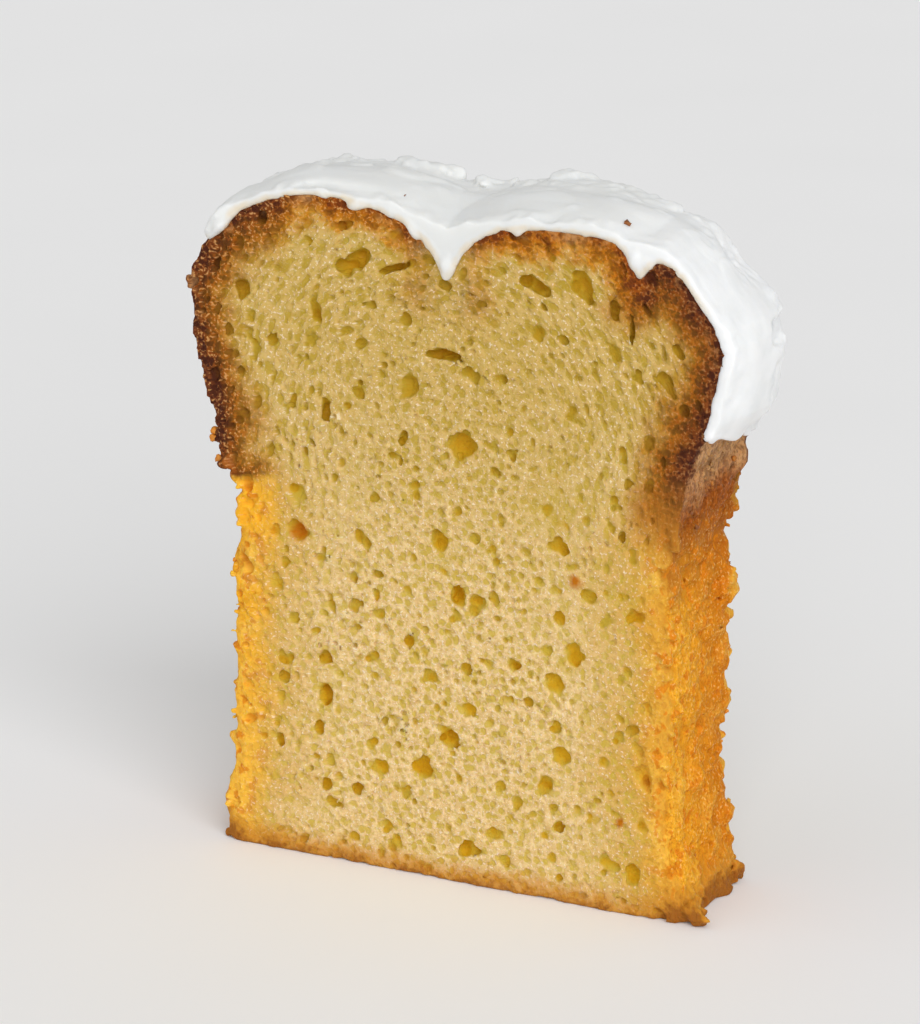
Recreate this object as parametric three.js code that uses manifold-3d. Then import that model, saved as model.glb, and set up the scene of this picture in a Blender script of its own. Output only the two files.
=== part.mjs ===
// A slice of iced loaf cake, standing on its base with one cut face to the front and one to the back.
// Millimetres, +Z up. The loaf's length runs along Y, and the origin lies under the middle of the slice.

import * as THREE from "three";
import { ImprovedNoise } from "three/addons/math/ImprovedNoise.js";
import { mergeVertices } from "three/addons/utils/BufferGeometryUtils.js";
import Module from "manifold-3d";

// Driving dimensions of the slice
const THICKNESS = 23; // from cut to cut
const LIP_LEVEL = 65; // the risen crust begins here, above the sides that tore off the tin
const LIP_BLEND = 2; // half the height over which torn crumb gives way to crust
const CROWN_LEVEL = 96; // the crust is widest here
const ICED_LEVEL = 102; // above this the crust lies smooth under the icing
const CROWN_FALL = 1.8; // how much lower the crown stands at the back cut

// Landmarks of the loaf's section, as x and z from the left base corner over the top to the right one
const SECTION = [
  [-42.6, 0], [-42.0, 9], [-40.7, 22], [-40.3, 45], [-39.5, 62], // torn left side
  [-41.8, 66], [-43.0, 74], [-46.0, 84], [-47.4, 95.5], // left crust, out to its widest
  [-43.7, 102.8], [-38.2, 108.4], [-26.0, 112.6], [-12.0, 112.2], // left dome
  [14.0, 111.7], [27.0, 111.4], [37.4, 108.8], [43.0, 102.6], [47.0, 96.6], // right dome
  [46.0, 88], [44.0, 81], [41.2, 75], [40.0, 67], // right crust
  [38.4, 58], [38.6, 38], [38.4, 24], [39.9, 9], [42.4, 0], // torn right side
];

// Cracks that opened along the top as the loaf rose: their place, depth, reach and drift towards the back
const CRACKS = [
  { x: -0.4, depth: 10.2, reach: 4.8, drift: -4.5 },
  { x: 32.8, depth: 5.0, reach: 1.9, drift: -1.6 },
];
const DRIFT_REACH = 8; // how far to each side the crust goes along with a crack's drift

// Crags: how far the surface stands in or out, and how wide the lumps are
const TORN_CRAG = 1.0;
const CRUST_CRAG = 0.45;
const ICED_CRAG = 0.15;
const CRAG_WIDTH = 5.2;
const FINE_LUMP = { scale: 2.3, share: 0.5, offset: 31 };

// Icing: where it ends on each side, at the front cut and at the back
const ICING_LEFT_END = { front: 103, back: 98 };
const ICING_RIGHT_END = { front: 82, back: 78 };
const ICING_GAP = 0.4; // clear of the crust

// Thickness of the icing at shares of its way from the left end to the right one
const ICING_LAYER = [
  [0, 0.7], [0.07, 1.5], [0.18, 2.5], [0.3, 3.5], [0.45, 3.0], [0.55, 3.6], // left dome and middle
  [0.64, 3.2], [0.735, 2.0], [0.81, 1.4], [0.88, 2.5], [0.95, 2.8], [1, 1.3], // right dome and drape
];
const ICING_DIP = { depth: 2.2, reach: 7 }; // it sank over the main crack
const ICING_LUMP = { height: 0.45, width: 10 };

// The icing thins out towards each cut: share of its thickness that is lost, and over what depth
const ICING_CUT = { front: { loss: 0.4, depth: 2.5 }, back: { loss: 0.62, depth: 6 } };

// Largest holes of the front cut: centre x and z, width, height, and tilt in degrees
const FRONT_HOLES = [
  [-16.5, 102.9, 6.0, 2.9, 32], [-37.3, 95.7, 2.5, 3.2, 0], [-0.7, 89.1, 6.0, 1.7, 0],
  [2.1, 74.6, 4.5, 4.2, 0], [-7.1, 83.4, 3.0, 3.7, 20], [-27.6, 56.1, 2.9, 3.7, 30],
  [-1.9, 58.0, 3.0, 3.4, 0], [1.3, 49.4, 3.0, 3.4, -30], [4.7, 48.7, 3.0, 3.0, 0],
  [-23.0, 28.6, 2.4, 4.0, 0], [-0.3, 24.9, 3.0, 3.5, 30], [-12.9, 17.6, 3.6, 2.8, -20],
  [-5.1, 18.7, 3.4, 3.9, 40], [19.9, 25.2, 3.0, 3.2, 0], [17.1, 19.8, 2.6, 3.2, 0],
  [34.4, 23.8, 2.0, 4.6, 12], [32.5, 6.9, 2.4, 4.0, 0], [22.0, 42.3, 2.8, 3.4, 0],
  [18.8, 36.9, 3.2, 3.0, -40], [23.1, 103.2, 2.8, 4.6, 28], [15.2, 102.2, 5.0, 2.0, -28],
];
const HOLE_DEPTH = 0.42; // of a hole's width and height together
const HOLE_SIDES = { around: 10, down: 6 };
const BACK_HOLES = { x: -0.9, z: 0.93, lift: 3 }; // the same holes, laid out the other way round

// How finely the surface is divided
const OUTLINE_STEPS = 140;
const DEPTH_STEPS = 10;
const ICING_END_STEPS = 3;

const noise = new ImprovedNoise();
const wasm = await Module();
wasm.setup();

const smooth = THREE.MathUtils.smoothstep;
const mix = THREE.MathUtils.lerp;
const towardsBack = (y) => y / THICKNESS + 0.5;

/** Two layers of noise, about -1 to 1, with lumps of the given width. */
function lumps({ x, y, z }, width) {
  const broad = noise.noise(x / width, y / width, z / width);
  const step = FINE_LUMP.scale / width;
  const fine = noise.noise(x * step, y * step + FINE_LUMP.offset, z * step);
  return broad + FINE_LUMP.share * fine;
}

/** The section's outline as evenly spaced points with their outward directions, one at each crack. */
function sampleSection() {
  const landmarks = SECTION.map(([x, z]) => new THREE.Vector3(x, 0, z));
  const curve = new THREE.CatmullRomCurve3(landmarks, false, "centripetal");
  const places = curve.getSpacedPoints(OUTLINE_STEPS);
  const outward = places.map((_, i) => {
    const along = curve.getTangentAt(i / OUTLINE_STEPS);
    return new THREE.Vector3(-along.z, 0, along.x).normalize();
  });
  const aside = (place, crack) => (place.z > CROWN_LEVEL ? Math.abs(place.x - crack.x) : Infinity);
  for (const crack of CRACKS) {
    places.reduce((best, place) => (aside(place, crack) < aside(best, crack) ? place : best)).x = crack.x;
  }
  return places.map((place, i) => ({ place, out: outward[i] }));
}

/** How far the cracks lower the top at x. */
function crackDepth(x) {
  return CRACKS.reduce((sum, crack) => sum + crack.depth * Math.exp(-Math.abs(x - crack.x) / crack.reach), 0);
}

/** How far the cracks' drift carries the top at x sideways, at station y. */
function crackDrift(x, y) {
  const share = ({ x: root, drift }) => drift * Math.exp(-(((x - root) / DRIFT_REACH) ** 2));
  return towardsBack(y) * CRACKS.reduce((sum, crack) => sum + share(crack), 0);
}

/** A point of the loaf before it cracked, at station y: the crown falls a little towards the back. */
function risenPoint({ place }, y) {
  const fall = CROWN_FALL * smooth(place.z, LIP_LEVEL, CROWN_LEVEL) * towardsBack(y);
  const drift = crackDrift(place.x, y) * smooth(place.z, CROWN_LEVEL, ICED_LEVEL);
  return new THREE.Vector3(place.x - (Math.sign(place.x) * fall) / 2 + drift, y, place.z - fall);
}

/** A point of the loaf's crust or torn side, with its cracks and crags. */
function crustPoint(sample, y) {
  const { place, out } = sample;
  const point = risenPoint(sample, y);
  const onTop = smooth(place.z, CROWN_LEVEL, ICED_LEVEL);
  const side = mix(TORN_CRAG, CRUST_CRAG, smooth(place.z, LIP_LEVEL - LIP_BLEND, LIP_LEVEL + LIP_BLEND));
  const crag = mix(side, ICED_CRAG, onTop) * lumps(point, CRAG_WIDTH);
  point.z -= onTop * crackDepth(place.x);
  point.addScaledVector(out, crag);
  if (place.z === 0) point.z = 0;
  return point;
}

/** A closed solid through rings of equal length, one for each station, with both ends capped. */
function loft(rings) {
  const size = rings[0].length;
  const positions = rings.flat().flatMap((p) => [p.x, p.y, p.z]);
  const index = [];
  for (let r = 0; r + 1 < rings.length; r++) {
    for (let i = 0; i < size; i++) {
      const a = r * size + i;
      const b = r * size + ((i + 1) % size);
      index.push(a, b, a + size, b, b + size, a + size);
    }
  }
  const capOf = (ring) => THREE.ShapeUtils.triangulateShape(ring.map((p) => new THREE.Vector2(p.x, p.z)), []);
  const last = (rings.length - 1) * size;
  for (const [a, b, c] of capOf(rings[0])) index.push(a, b, c);
  for (const [a, b, c] of capOf(rings.at(-1))) index.push(last + a, last + c, last + b);
  const geometry = new THREE.BufferGeometry();
  geometry.setAttribute("position", new THREE.Float32BufferAttribute(positions, 3));
  return geometry.setIndex(index);
}

/** A closed geometry as a solid that can be cut. */
function toSolid(geometry) {
  const bare = geometry.clone();
  bare.deleteAttribute("normal");
  bare.deleteAttribute("uv");
  const merged = mergeVertices(bare);
  const vertProperties = merged.attributes.position.array;
  const triVerts = new Uint32Array(merged.index.array);
  return new wasm.Manifold(new wasm.Mesh({ numProp: 3, vertProperties, triVerts }));
}

/** A solid as a geometry for a mesh. */
function toGeometry(solid) {
  const { vertProperties, triVerts } = solid.getMesh();
  const geometry = new THREE.BufferGeometry();
  geometry.setAttribute("position", new THREE.Float32BufferAttribute(vertProperties, 3));
  return geometry.setIndex(new THREE.Uint32BufferAttribute(triVerts, 1));
}

/** One gas hole that opens in a cut face: an ellipsoid whose middle lies in that face. */
function holeSolid([x, z, width, height, tilt], y) {
  const geometry = new THREE.SphereGeometry(0.5, HOLE_SIDES.around, HOLE_SIDES.down)
    .scale(width, HOLE_DEPTH * (width + height), height)
    .rotateY(THREE.MathUtils.degToRad(-tilt))
    .translate(x, y, z);
  return toSolid(geometry);
}

/** The crumb and crust, one solid, with the largest gas holes open in both cuts. */
function makeCake(crust) {
  const atBack = ([x, z, width, height, tilt]) =>
    [BACK_HOLES.x * x, BACK_HOLES.z * z + BACK_HOLES.lift, width, height, -tilt];
  const holes = [
    ...FRONT_HOLES.map((hole) => holeSolid(hole, -THICKNESS / 2)),
    ...FRONT_HOLES.map((hole) => holeSolid(atBack(hole), THICKNESS / 2)),
  ];
  return toGeometry(holes.reduce((cake, hole) => cake.subtract(hole), toSolid(loft(crust))));
}

/** Where along the outline a side stands at a height, as a fractional sample number. */
function sampleAt(samples, height, fromRight) {
  const order = samples.map((_, i) => (fromRight ? samples.length - 1 - i : i));
  const above = order.findIndex((i) => samples[i].place.z >= height);
  const [low, high] = [order[above - 1], order[above]];
  const share = (height - samples[low].place.z) / (samples[high].place.z - samples[low].place.z);
  return mix(low, high, share);
}

/** Thickness of the icing at a share of its way from left to right, for a point of the risen loaf. */
function icingThickness(share, point) {
  const next = Math.max(1, ICING_LAYER.findIndex(([at]) => at >= share));
  const [[from, thin], [to, thick]] = [ICING_LAYER[next - 1], ICING_LAYER[next]];
  const layer = mix(thin, thick, smooth(share, from, to));
  const { front, back } = ICING_CUT;
  const fromFront = point.y + THICKNESS / 2;
  const fromBack = THICKNESS / 2 - point.y;
  const frontLoss = front.loss * (1 - smooth(fromFront, -front.depth, front.depth)) * 2;
  const backLoss = back.loss * (1 - smooth(fromBack, -back.depth, back.depth)) * 2;
  const lump = ICING_LUMP.height * lumps(point, ICING_LUMP.width) * Math.min(1, layer);
  return (layer + lump) * (1 - frontLoss) * (1 - backLoss);
}

/** Evenly spaced numbers from one end up to, but without, the other. */
function stepsBetween(from, to) {
  return Array.from({ length: ICING_END_STEPS }, (_, i) => mix(from, to, i / ICING_END_STEPS));
}

/** The icing: a layer poured over the crown that fills its cracks and slides down the right side. */
function makeIcing(samples, crust) {
  const leftEnd = (y) => sampleAt(samples, mix(ICING_LEFT_END.front, ICING_LEFT_END.back, towardsBack(y)), false);
  const rightEnd = (y) => sampleAt(samples, mix(ICING_RIGHT_END.front, ICING_RIGHT_END.back, towardsBack(y)), true);
  const stationYs = crust.map((ring) => ring[0].y);
  const first = Math.ceil(Math.max(...stationYs.map(leftEnd)));
  const last = Math.floor(Math.min(...stationYs.map(rightEnd)));
  const middle = Array.from({ length: last - first + 1 }, (_, i) => first + i);
  const rings = crust.map((ring) => {
    const { y } = ring[0];
    const [left, right] = [leftEnd(y), rightEnd(y)];
    const places = [...stepsBetween(left, first), ...middle, ...stepsBetween(right, last).reverse()];
    const outer = [];
    const inner = [];
    for (const at of places) {
      const low = Math.floor(at);
      const out = samples[low].out.clone().lerp(samples[low + 1].out, at - low).normalize();
      const under = ring[low].clone().lerp(ring[low + 1], at - low);
      const risen = risenPoint(samples[low], y).lerp(risenPoint(samples[low + 1], y), at - low);
      const root = CRACKS[0].x + crackDrift(CRACKS[0].x, y);
      const thickness = icingThickness((at - left) / (right - left), risen);
      const top = risen.clone().addScaledVector(out, thickness + ICING_GAP);
      top.z -= ICING_DIP.depth * Math.exp(-(((risen.x - root) / ICING_DIP.reach) ** 2));
      outer.push(top);
      inner.push(under.addScaledVector(out, ICING_GAP));
    }
    return [...outer, ...inner.reverse()];
  });
  return loft(rings);
}

/** A named mesh with its own finish. */
function piece(name, geometry, color, roughness) {
  const mesh = new THREE.Mesh(geometry, new THREE.MeshStandardMaterial({ color, roughness, metalness: 0 }));
  mesh.name = name;
  geometry.computeVertexNormals();
  return mesh;
}

// Stations from cut to cut stand closer together near the cuts, where the icing rounds off.
const stations = Array.from({ length: DEPTH_STEPS + 1 }, (_, j) => {
  return (-THICKNESS / 2) * Math.cos((Math.PI * j) / DEPTH_STEPS);
});
const samples = sampleSection();
const crust = stations.map((y) => samples.map((sample) => crustPoint(sample, y)));

const slice = new THREE.Group();
slice.add(piece("cake", makeCake(crust), 0xd2b066, 0.85));
slice.add(piece("icing", makeIcing(samples, crust), 0xf0f0ed, 0.45));

// The origin goes under the middle of the slice's box.
const middle = new THREE.Box3().setFromObject(slice, true).getCenter(new THREE.Vector3());
slice.position.set(-middle.x, -middle.y, 0);

export default slice;
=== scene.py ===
"""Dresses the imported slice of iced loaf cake: crumb and crust, icing, loose crumbs, studio and camera."""

import logging
import math
from dataclasses import dataclass, field
from enum import Enum

import bmesh
import bpy
import numpy as np
import openvdb
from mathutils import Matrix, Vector


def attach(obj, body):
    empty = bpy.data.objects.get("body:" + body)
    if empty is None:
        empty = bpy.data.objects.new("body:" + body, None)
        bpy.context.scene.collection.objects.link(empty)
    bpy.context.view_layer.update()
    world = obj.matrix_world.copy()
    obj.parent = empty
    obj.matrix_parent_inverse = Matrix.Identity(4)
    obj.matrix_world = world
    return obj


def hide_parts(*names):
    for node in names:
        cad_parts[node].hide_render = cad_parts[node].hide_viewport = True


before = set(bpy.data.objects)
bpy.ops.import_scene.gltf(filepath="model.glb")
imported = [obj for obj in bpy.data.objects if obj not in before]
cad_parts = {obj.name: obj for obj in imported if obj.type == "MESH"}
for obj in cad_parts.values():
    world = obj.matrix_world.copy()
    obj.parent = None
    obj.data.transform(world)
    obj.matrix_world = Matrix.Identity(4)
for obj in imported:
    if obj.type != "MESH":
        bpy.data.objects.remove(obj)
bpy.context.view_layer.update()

LOG = logging.getLogger("slice")
MM = 0.001
BODY = "root"

Colour = tuple[float, float, float, float]
Point = tuple[float, float, float]
Span = tuple[float, float]
Rows = tuple[tuple[float, ...], ...]


class Cut(Enum):
    """The two cut faces, by the side of the loaf's length that they look to."""

    FRONT = -1
    BACK = 1


class Join(Enum):
    """What a blob does to the food that it meets."""

    ADD = "add"
    CARVE = "carve"


def srgb(red: int, green: int, blue: int) -> Colour:
    """Turns a display colour, 0 to 255, into the linear colour that shaders use."""
    parts = (channel / 255 for channel in (red, green, blue))
    return (*(c / 12.92 if c <= 0.04045 else ((c + 0.055) / 1.055) ** 2.4 for c in parts), 1.0)


def smooth(value: np.ndarray | float, low: float, high: float) -> np.ndarray:
    """Rises smoothly from 0 at low to 1 at high, or falls where high lies below low."""
    share = np.clip((np.asarray(value, float) - low) / (high - low), 0, 1)
    return share * share * (3 - 2 * share)


def soft_min(first: np.ndarray, second: np.ndarray, width: float) -> np.ndarray:
    """The smaller of two distances, with a soft joint of a width in millimetres where they meet."""
    share = np.clip(0.5 + 0.5 * (first - second) / width, 0, 1)
    return first * (1 - share) + second * share - width * share * (1 - share)


# Shader expressions


class Value:
    """A shader socket that takes part in Python expressions."""

    def __init__(self, recipe: "Recipe", socket: bpy.types.NodeSocket) -> None:
        """Keeps the socket and the recipe that it belongs to."""
        self.recipe = recipe
        self.socket = socket

    def __add__(self, other: "Value | float") -> "Value":
        """Sum."""
        return self.recipe.math("ADD", self, other)

    def __radd__(self, other: float) -> "Value":
        """Sum, with the number first."""
        return self.recipe.math("ADD", other, self)

    def __sub__(self, other: "Value | float") -> "Value":
        """Difference."""
        return self.recipe.math("SUBTRACT", self, other)

    def __rsub__(self, other: float) -> "Value":
        """Difference, with the number first."""
        return self.recipe.math("SUBTRACT", other, self)

    def __mul__(self, other: "Value | float") -> "Value":
        """Product."""
        return self.recipe.math("MULTIPLY", self, other)

    def __rmul__(self, other: float) -> "Value":
        """Product, with the number first."""
        return self.recipe.math("MULTIPLY", other, self)

    def __truediv__(self, other: "Value | float") -> "Value":
        """Quotient."""
        return self.recipe.math("DIVIDE", self, other)

    def __rtruediv__(self, other: float) -> "Value":
        """Quotient, with the number first."""
        return self.recipe.math("DIVIDE", other, self)

    def rise(self, low: float, high: float) -> "Value":
        """Rises smoothly from 0 at low to 1 at high, or falls where high is the lower.

        Args:
            low: Where the rise starts.
            high: Where it ends.

        Returns:
            The share, from 0 to 1.
        """
        if high < low:
            return 1 - self.rise(high, low)
        settings = {"interpolation_type": "SMOOTHSTEP"}
        return self.recipe.node("ShaderNodeMapRange", settings,
                                {"Value": self, "From Min": low, "From Max": high})


class Recipe:
    """The node tree of one material, written as expressions on its sockets."""

    def __init__(self, name: str, unrolled: str | None = None) -> None:
        """Starts an empty material.

        Args:
            name: The material's name.
            unrolled: The mesh's own flat place for patterns; the object's place in space if left out.
        """
        self.material = bpy.data.materials.new(name)
        self.material.use_nodes = True
        self.tree = self.material.node_tree
        self.tree.nodes.clear()
        coordinates = self.node("ShaderNodeTexCoord", output="Object")
        self.space = self.node("ShaderNodeVectorMath", {"operation": "SCALE"},
                               {"Vector": coordinates, "Scale": 1 / MM}, "Vector")
        self.place = self.attribute(unrolled, "Vector") if unrolled else self.space
        self.dimensions = "2D" if unrolled else "3D"

    def node(self, kind: str, settings: dict | None = None, sockets: dict | None = None,
             output: str | None = None) -> Value | None:
        """Adds a node of any type.

        Args:
            kind: The node's type.
            settings: What is set on the node itself, or a ramp's stops under "stops".
            sockets: Values or links, by the socket's name or identifier.
            output: The output to hand back, by name or identifier; the first one if left out.

        Returns:
            The output as a value for expressions, or None for a node without outputs.
        """
        made = self.tree.nodes.new(kind)
        for key, value in (settings or {}).items():
            if key == "stops":
                self.set_stops(made.color_ramp, value)
            else:
                setattr(made, key, value)
        for key, value in (sockets or {}).items():
            socket = self.find(made.inputs, key)
            if isinstance(value, Value):
                self.tree.links.new(value.socket, socket)
            else:
                socket.default_value = value
        if not made.outputs:
            return None
        return Value(self, self.find(made.outputs, output) if output else made.outputs[0])

    @staticmethod
    def find(sockets: bpy.types.bpy_prop_collection, key: str) -> bpy.types.NodeSocket:
        """Finds a socket by its identifier or, failing that, its name."""
        by_identifier = [socket for socket in sockets if socket.identifier == key]
        return (by_identifier or [socket for socket in sockets if socket.name == key])[0]

    @staticmethod
    def set_stops(ramp: bpy.types.ColorRamp, stops: list[tuple[float, Colour]]) -> None:
        """Gives a colour ramp its stops.

        Args:
            ramp: The ramp of a new node.
            stops: Positions and colours, in order.
        """
        while len(ramp.elements) < len(stops):
            ramp.elements.new(1.0)
        for element, (position, colour) in zip(ramp.elements, stops):
            element.position = position
            element.color = colour

    def math(self, operation: str, first: Value | float, second: Value | float) -> Value:
        """Adds a Math node for two values or numbers."""
        return self.node("ShaderNodeMath", {"operation": operation}, {"Value": first, "Value_001": second})

    def mix(self, first: Value | Colour, second: Value | Colour, share: Value | float) -> Value:
        """Mixes two colours; the share is how much of the second there is, from 0 to 1."""
        sockets = {"Factor_Float": share, "A_Color": first, "B_Color": second}
        return self.node("ShaderNodeMix", {"data_type": "RGBA"}, sockets, "Result_Color")

    def layers(self, base: Value | Colour, *coats: tuple[Value | Colour, Value | float]) -> Value:
        """Lays colours over a base, one after another.

        Args:
            base: The colour underneath.
            coats: Each colour with its share, the lowest first.

        Returns:
            The mixed colour.
        """
        for colour, share in coats:
            base = self.mix(base, colour, share)
        return base

    def noise(self, width: float, detail: float = 2.0, stretch: Point = (1.0, 1.0, 1.0)) -> Value:
        """Noise from about 0 to 1, its lumps a width in millimetres and stretched along X, Y and Z."""
        place = self.node("ShaderNodeVectorMath", {"operation": "DIVIDE"},
                          {"Vector": self.place, "Vector_001": stretch}, "Vector")
        return self.node("ShaderNodeTexNoise", {"noise_dimensions": self.dimensions},
                         {"Vector": place, "Scale": 1 / width, "Detail": detail}, "Fac")

    def wander(self, place: Value, width: float, reach: float) -> Value:
        """Shifts a place by noise of a width, up to a reach, so that what is read there looks less clean."""
        way = self.node("ShaderNodeTexNoise", {"noise_dimensions": self.dimensions},
                        {"Vector": place, "Scale": 1 / width, "Detail": 1.0}, "Color")
        return self.node("ShaderNodeVectorMath", {"operation": "MULTIPLY_ADD"},
                         {"Vector": way, "Vector_001": (2 * reach,) * 3, "Vector_002": place}, "Vector")

    def bubbles(self, place: Value, width: float, ragged: Value) -> Value:
        """Gas holes a width apart: 1 in the middle of a hole, 0 on the walls, with ragged edges."""
        cells = self.node("ShaderNodeTexVoronoi", {"voronoi_dimensions": self.dimensions},
                          {"Vector": place, "Scale": 1 / width}, "Distance")
        return (cells + ragged).rise(0.37, 0.16)

    def larger(self, first: Value, second: Value) -> Value:
        """The larger of two values."""
        return self.math("MAXIMUM", first, second)

    def attribute(self, name: str, output: str = "Fac") -> Value:
        """Reads a number, or a vector, that the mesh keeps at its points."""
        return self.node("ShaderNodeAttribute", {"attribute_name": name}, None, output)

    def along(self, axis: str) -> Value:
        """Place along X, Y or Z, in millimetres."""
        return self.node("ShaderNodeSeparateXYZ", None, {"Vector": self.space}, axis)

    def ramp(self, share: Value, stops: list[tuple[float, Colour]]) -> Value:
        """Reads a colour off a row of stops."""
        return self.node("ShaderNodeValToRGB", {"stops": stops}, {"Fac": share}, "Color")

    def bump(self, height: Value, strength: float, depth: float) -> Value:
        """Turns a height from 0 to 1 into a bumped normal; the depth is in millimetres."""
        sockets = {"Height": height, "Strength": strength, "Distance": depth * MM}
        return self.node("ShaderNodeBump", None, sockets)

    def surface(self, sockets: dict) -> bpy.types.Material:
        """Ends the tree in one shader.

        Args:
            sockets: Values and links of the shader's sockets.

        Returns:
            The finished material.
        """
        shader = self.node("ShaderNodeBsdfPrincipled", None, sockets)
        self.node("ShaderNodeOutputMaterial", None, {"Surface": shader})
        return self.material


# Finishes


@dataclass
class CrumbReads:
    """What the crumb's shader reads at a point, shared by its layers."""

    recipe: Recipe

    # Places where the right half and the back start, and where they are full
    right_reach: Span = (-15.0, 15.0)
    back_reach: Span = (-11.0, 10.0)

    # Levels of the noise for painted glints and for pits painted dark as shade, and depths of shallow and
    # deep holes
    glint_span: Span = (0.57, 0.7)
    pit_span: Span = (0.46, 0.34)
    shallow_span: Span = (0.08, 0.6)
    deep_span: Span = (1.0, 2.6)

    def __post_init__(self) -> None:
        """Reads the mesh's own numbers, the place, noise of four sizes and the gas holes."""
        r = self.recipe
        self.rim = r.attribute("rim")
        self.recess = r.attribute("recess")
        self.height = r.along("Z")
        self.across = r.along("X")
        self.right = self.across.rise(*self.right_reach)
        self.back = r.along("Y").rise(*self.back_reach)
        self.broad = r.noise(9.0, 1.0)
        self.middle = r.noise(2.4, 2.0)
        self.fine = r.noise(0.8, 3.0)
        self.speck = r.noise(0.5, 3.0)
        behind = r.attribute("cut") + self.uneven(3.0, 2.0)
        self.face = behind.rise(0.2, 1.8) * self.rim.rise(3.0, 1.4)
        wide, narrow, self.round_holes = self.fine_holes(self.uneven(0.0, 0.6, 0.35))
        self.holes = r.larger(wide, 0.55 * narrow)
        self.shallow = self.recess.rise(*self.shallow_span)
        self.deep = self.recess.rise(*self.deep_span)
        # Glints are painted highlights, kept off the holes
        self.glint = self.speck.rise(*self.glint_span) * (1 - r.larger(0.85 * self.holes, self.shallow))
        self.pits = self.speck.rise(*self.pit_span)

    def uneven(self, broad: float, middle: float = 0.0, fine: float = 0.0) -> Value:
        """Sums shares of the broad, middle and fine noise about 0, for edges that wander."""
        shares = ((broad, self.broad), (middle, self.middle), (fine, self.fine))
        return sum(share * (noise - 0.5) for share, noise in shares if share)

    def fine_holes(self, ragged: Value) -> list[Value]:
        """Gas holes too small for the mesh, round below and drawn out where the crumb rose.

        Args:
            ragged: Noise for uneven edges.

        Returns:
            Wide and narrow ones, and both kinds as they were before they were drawn out; each is 1 in a hole
            and 0 on the walls between.
        """
        r = self.recipe
        kinds = []
        for place, wide, narrow in ((r.place, 1.9, 0.95), (r.attribute("grain", "Vector"), 1.7, 0.9)):
            wandered = r.wander(place, 1.1, 0.35)
            kinds.append([r.bubbles(wandered, width, ragged) for width in (wide, narrow)])
        drawn = r.attribute("drawn")
        mixed = [level + (risen - level) * drawn for level, risen in zip(*kinds)]
        return [*mixed, r.larger(*kinds[0])]


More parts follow.
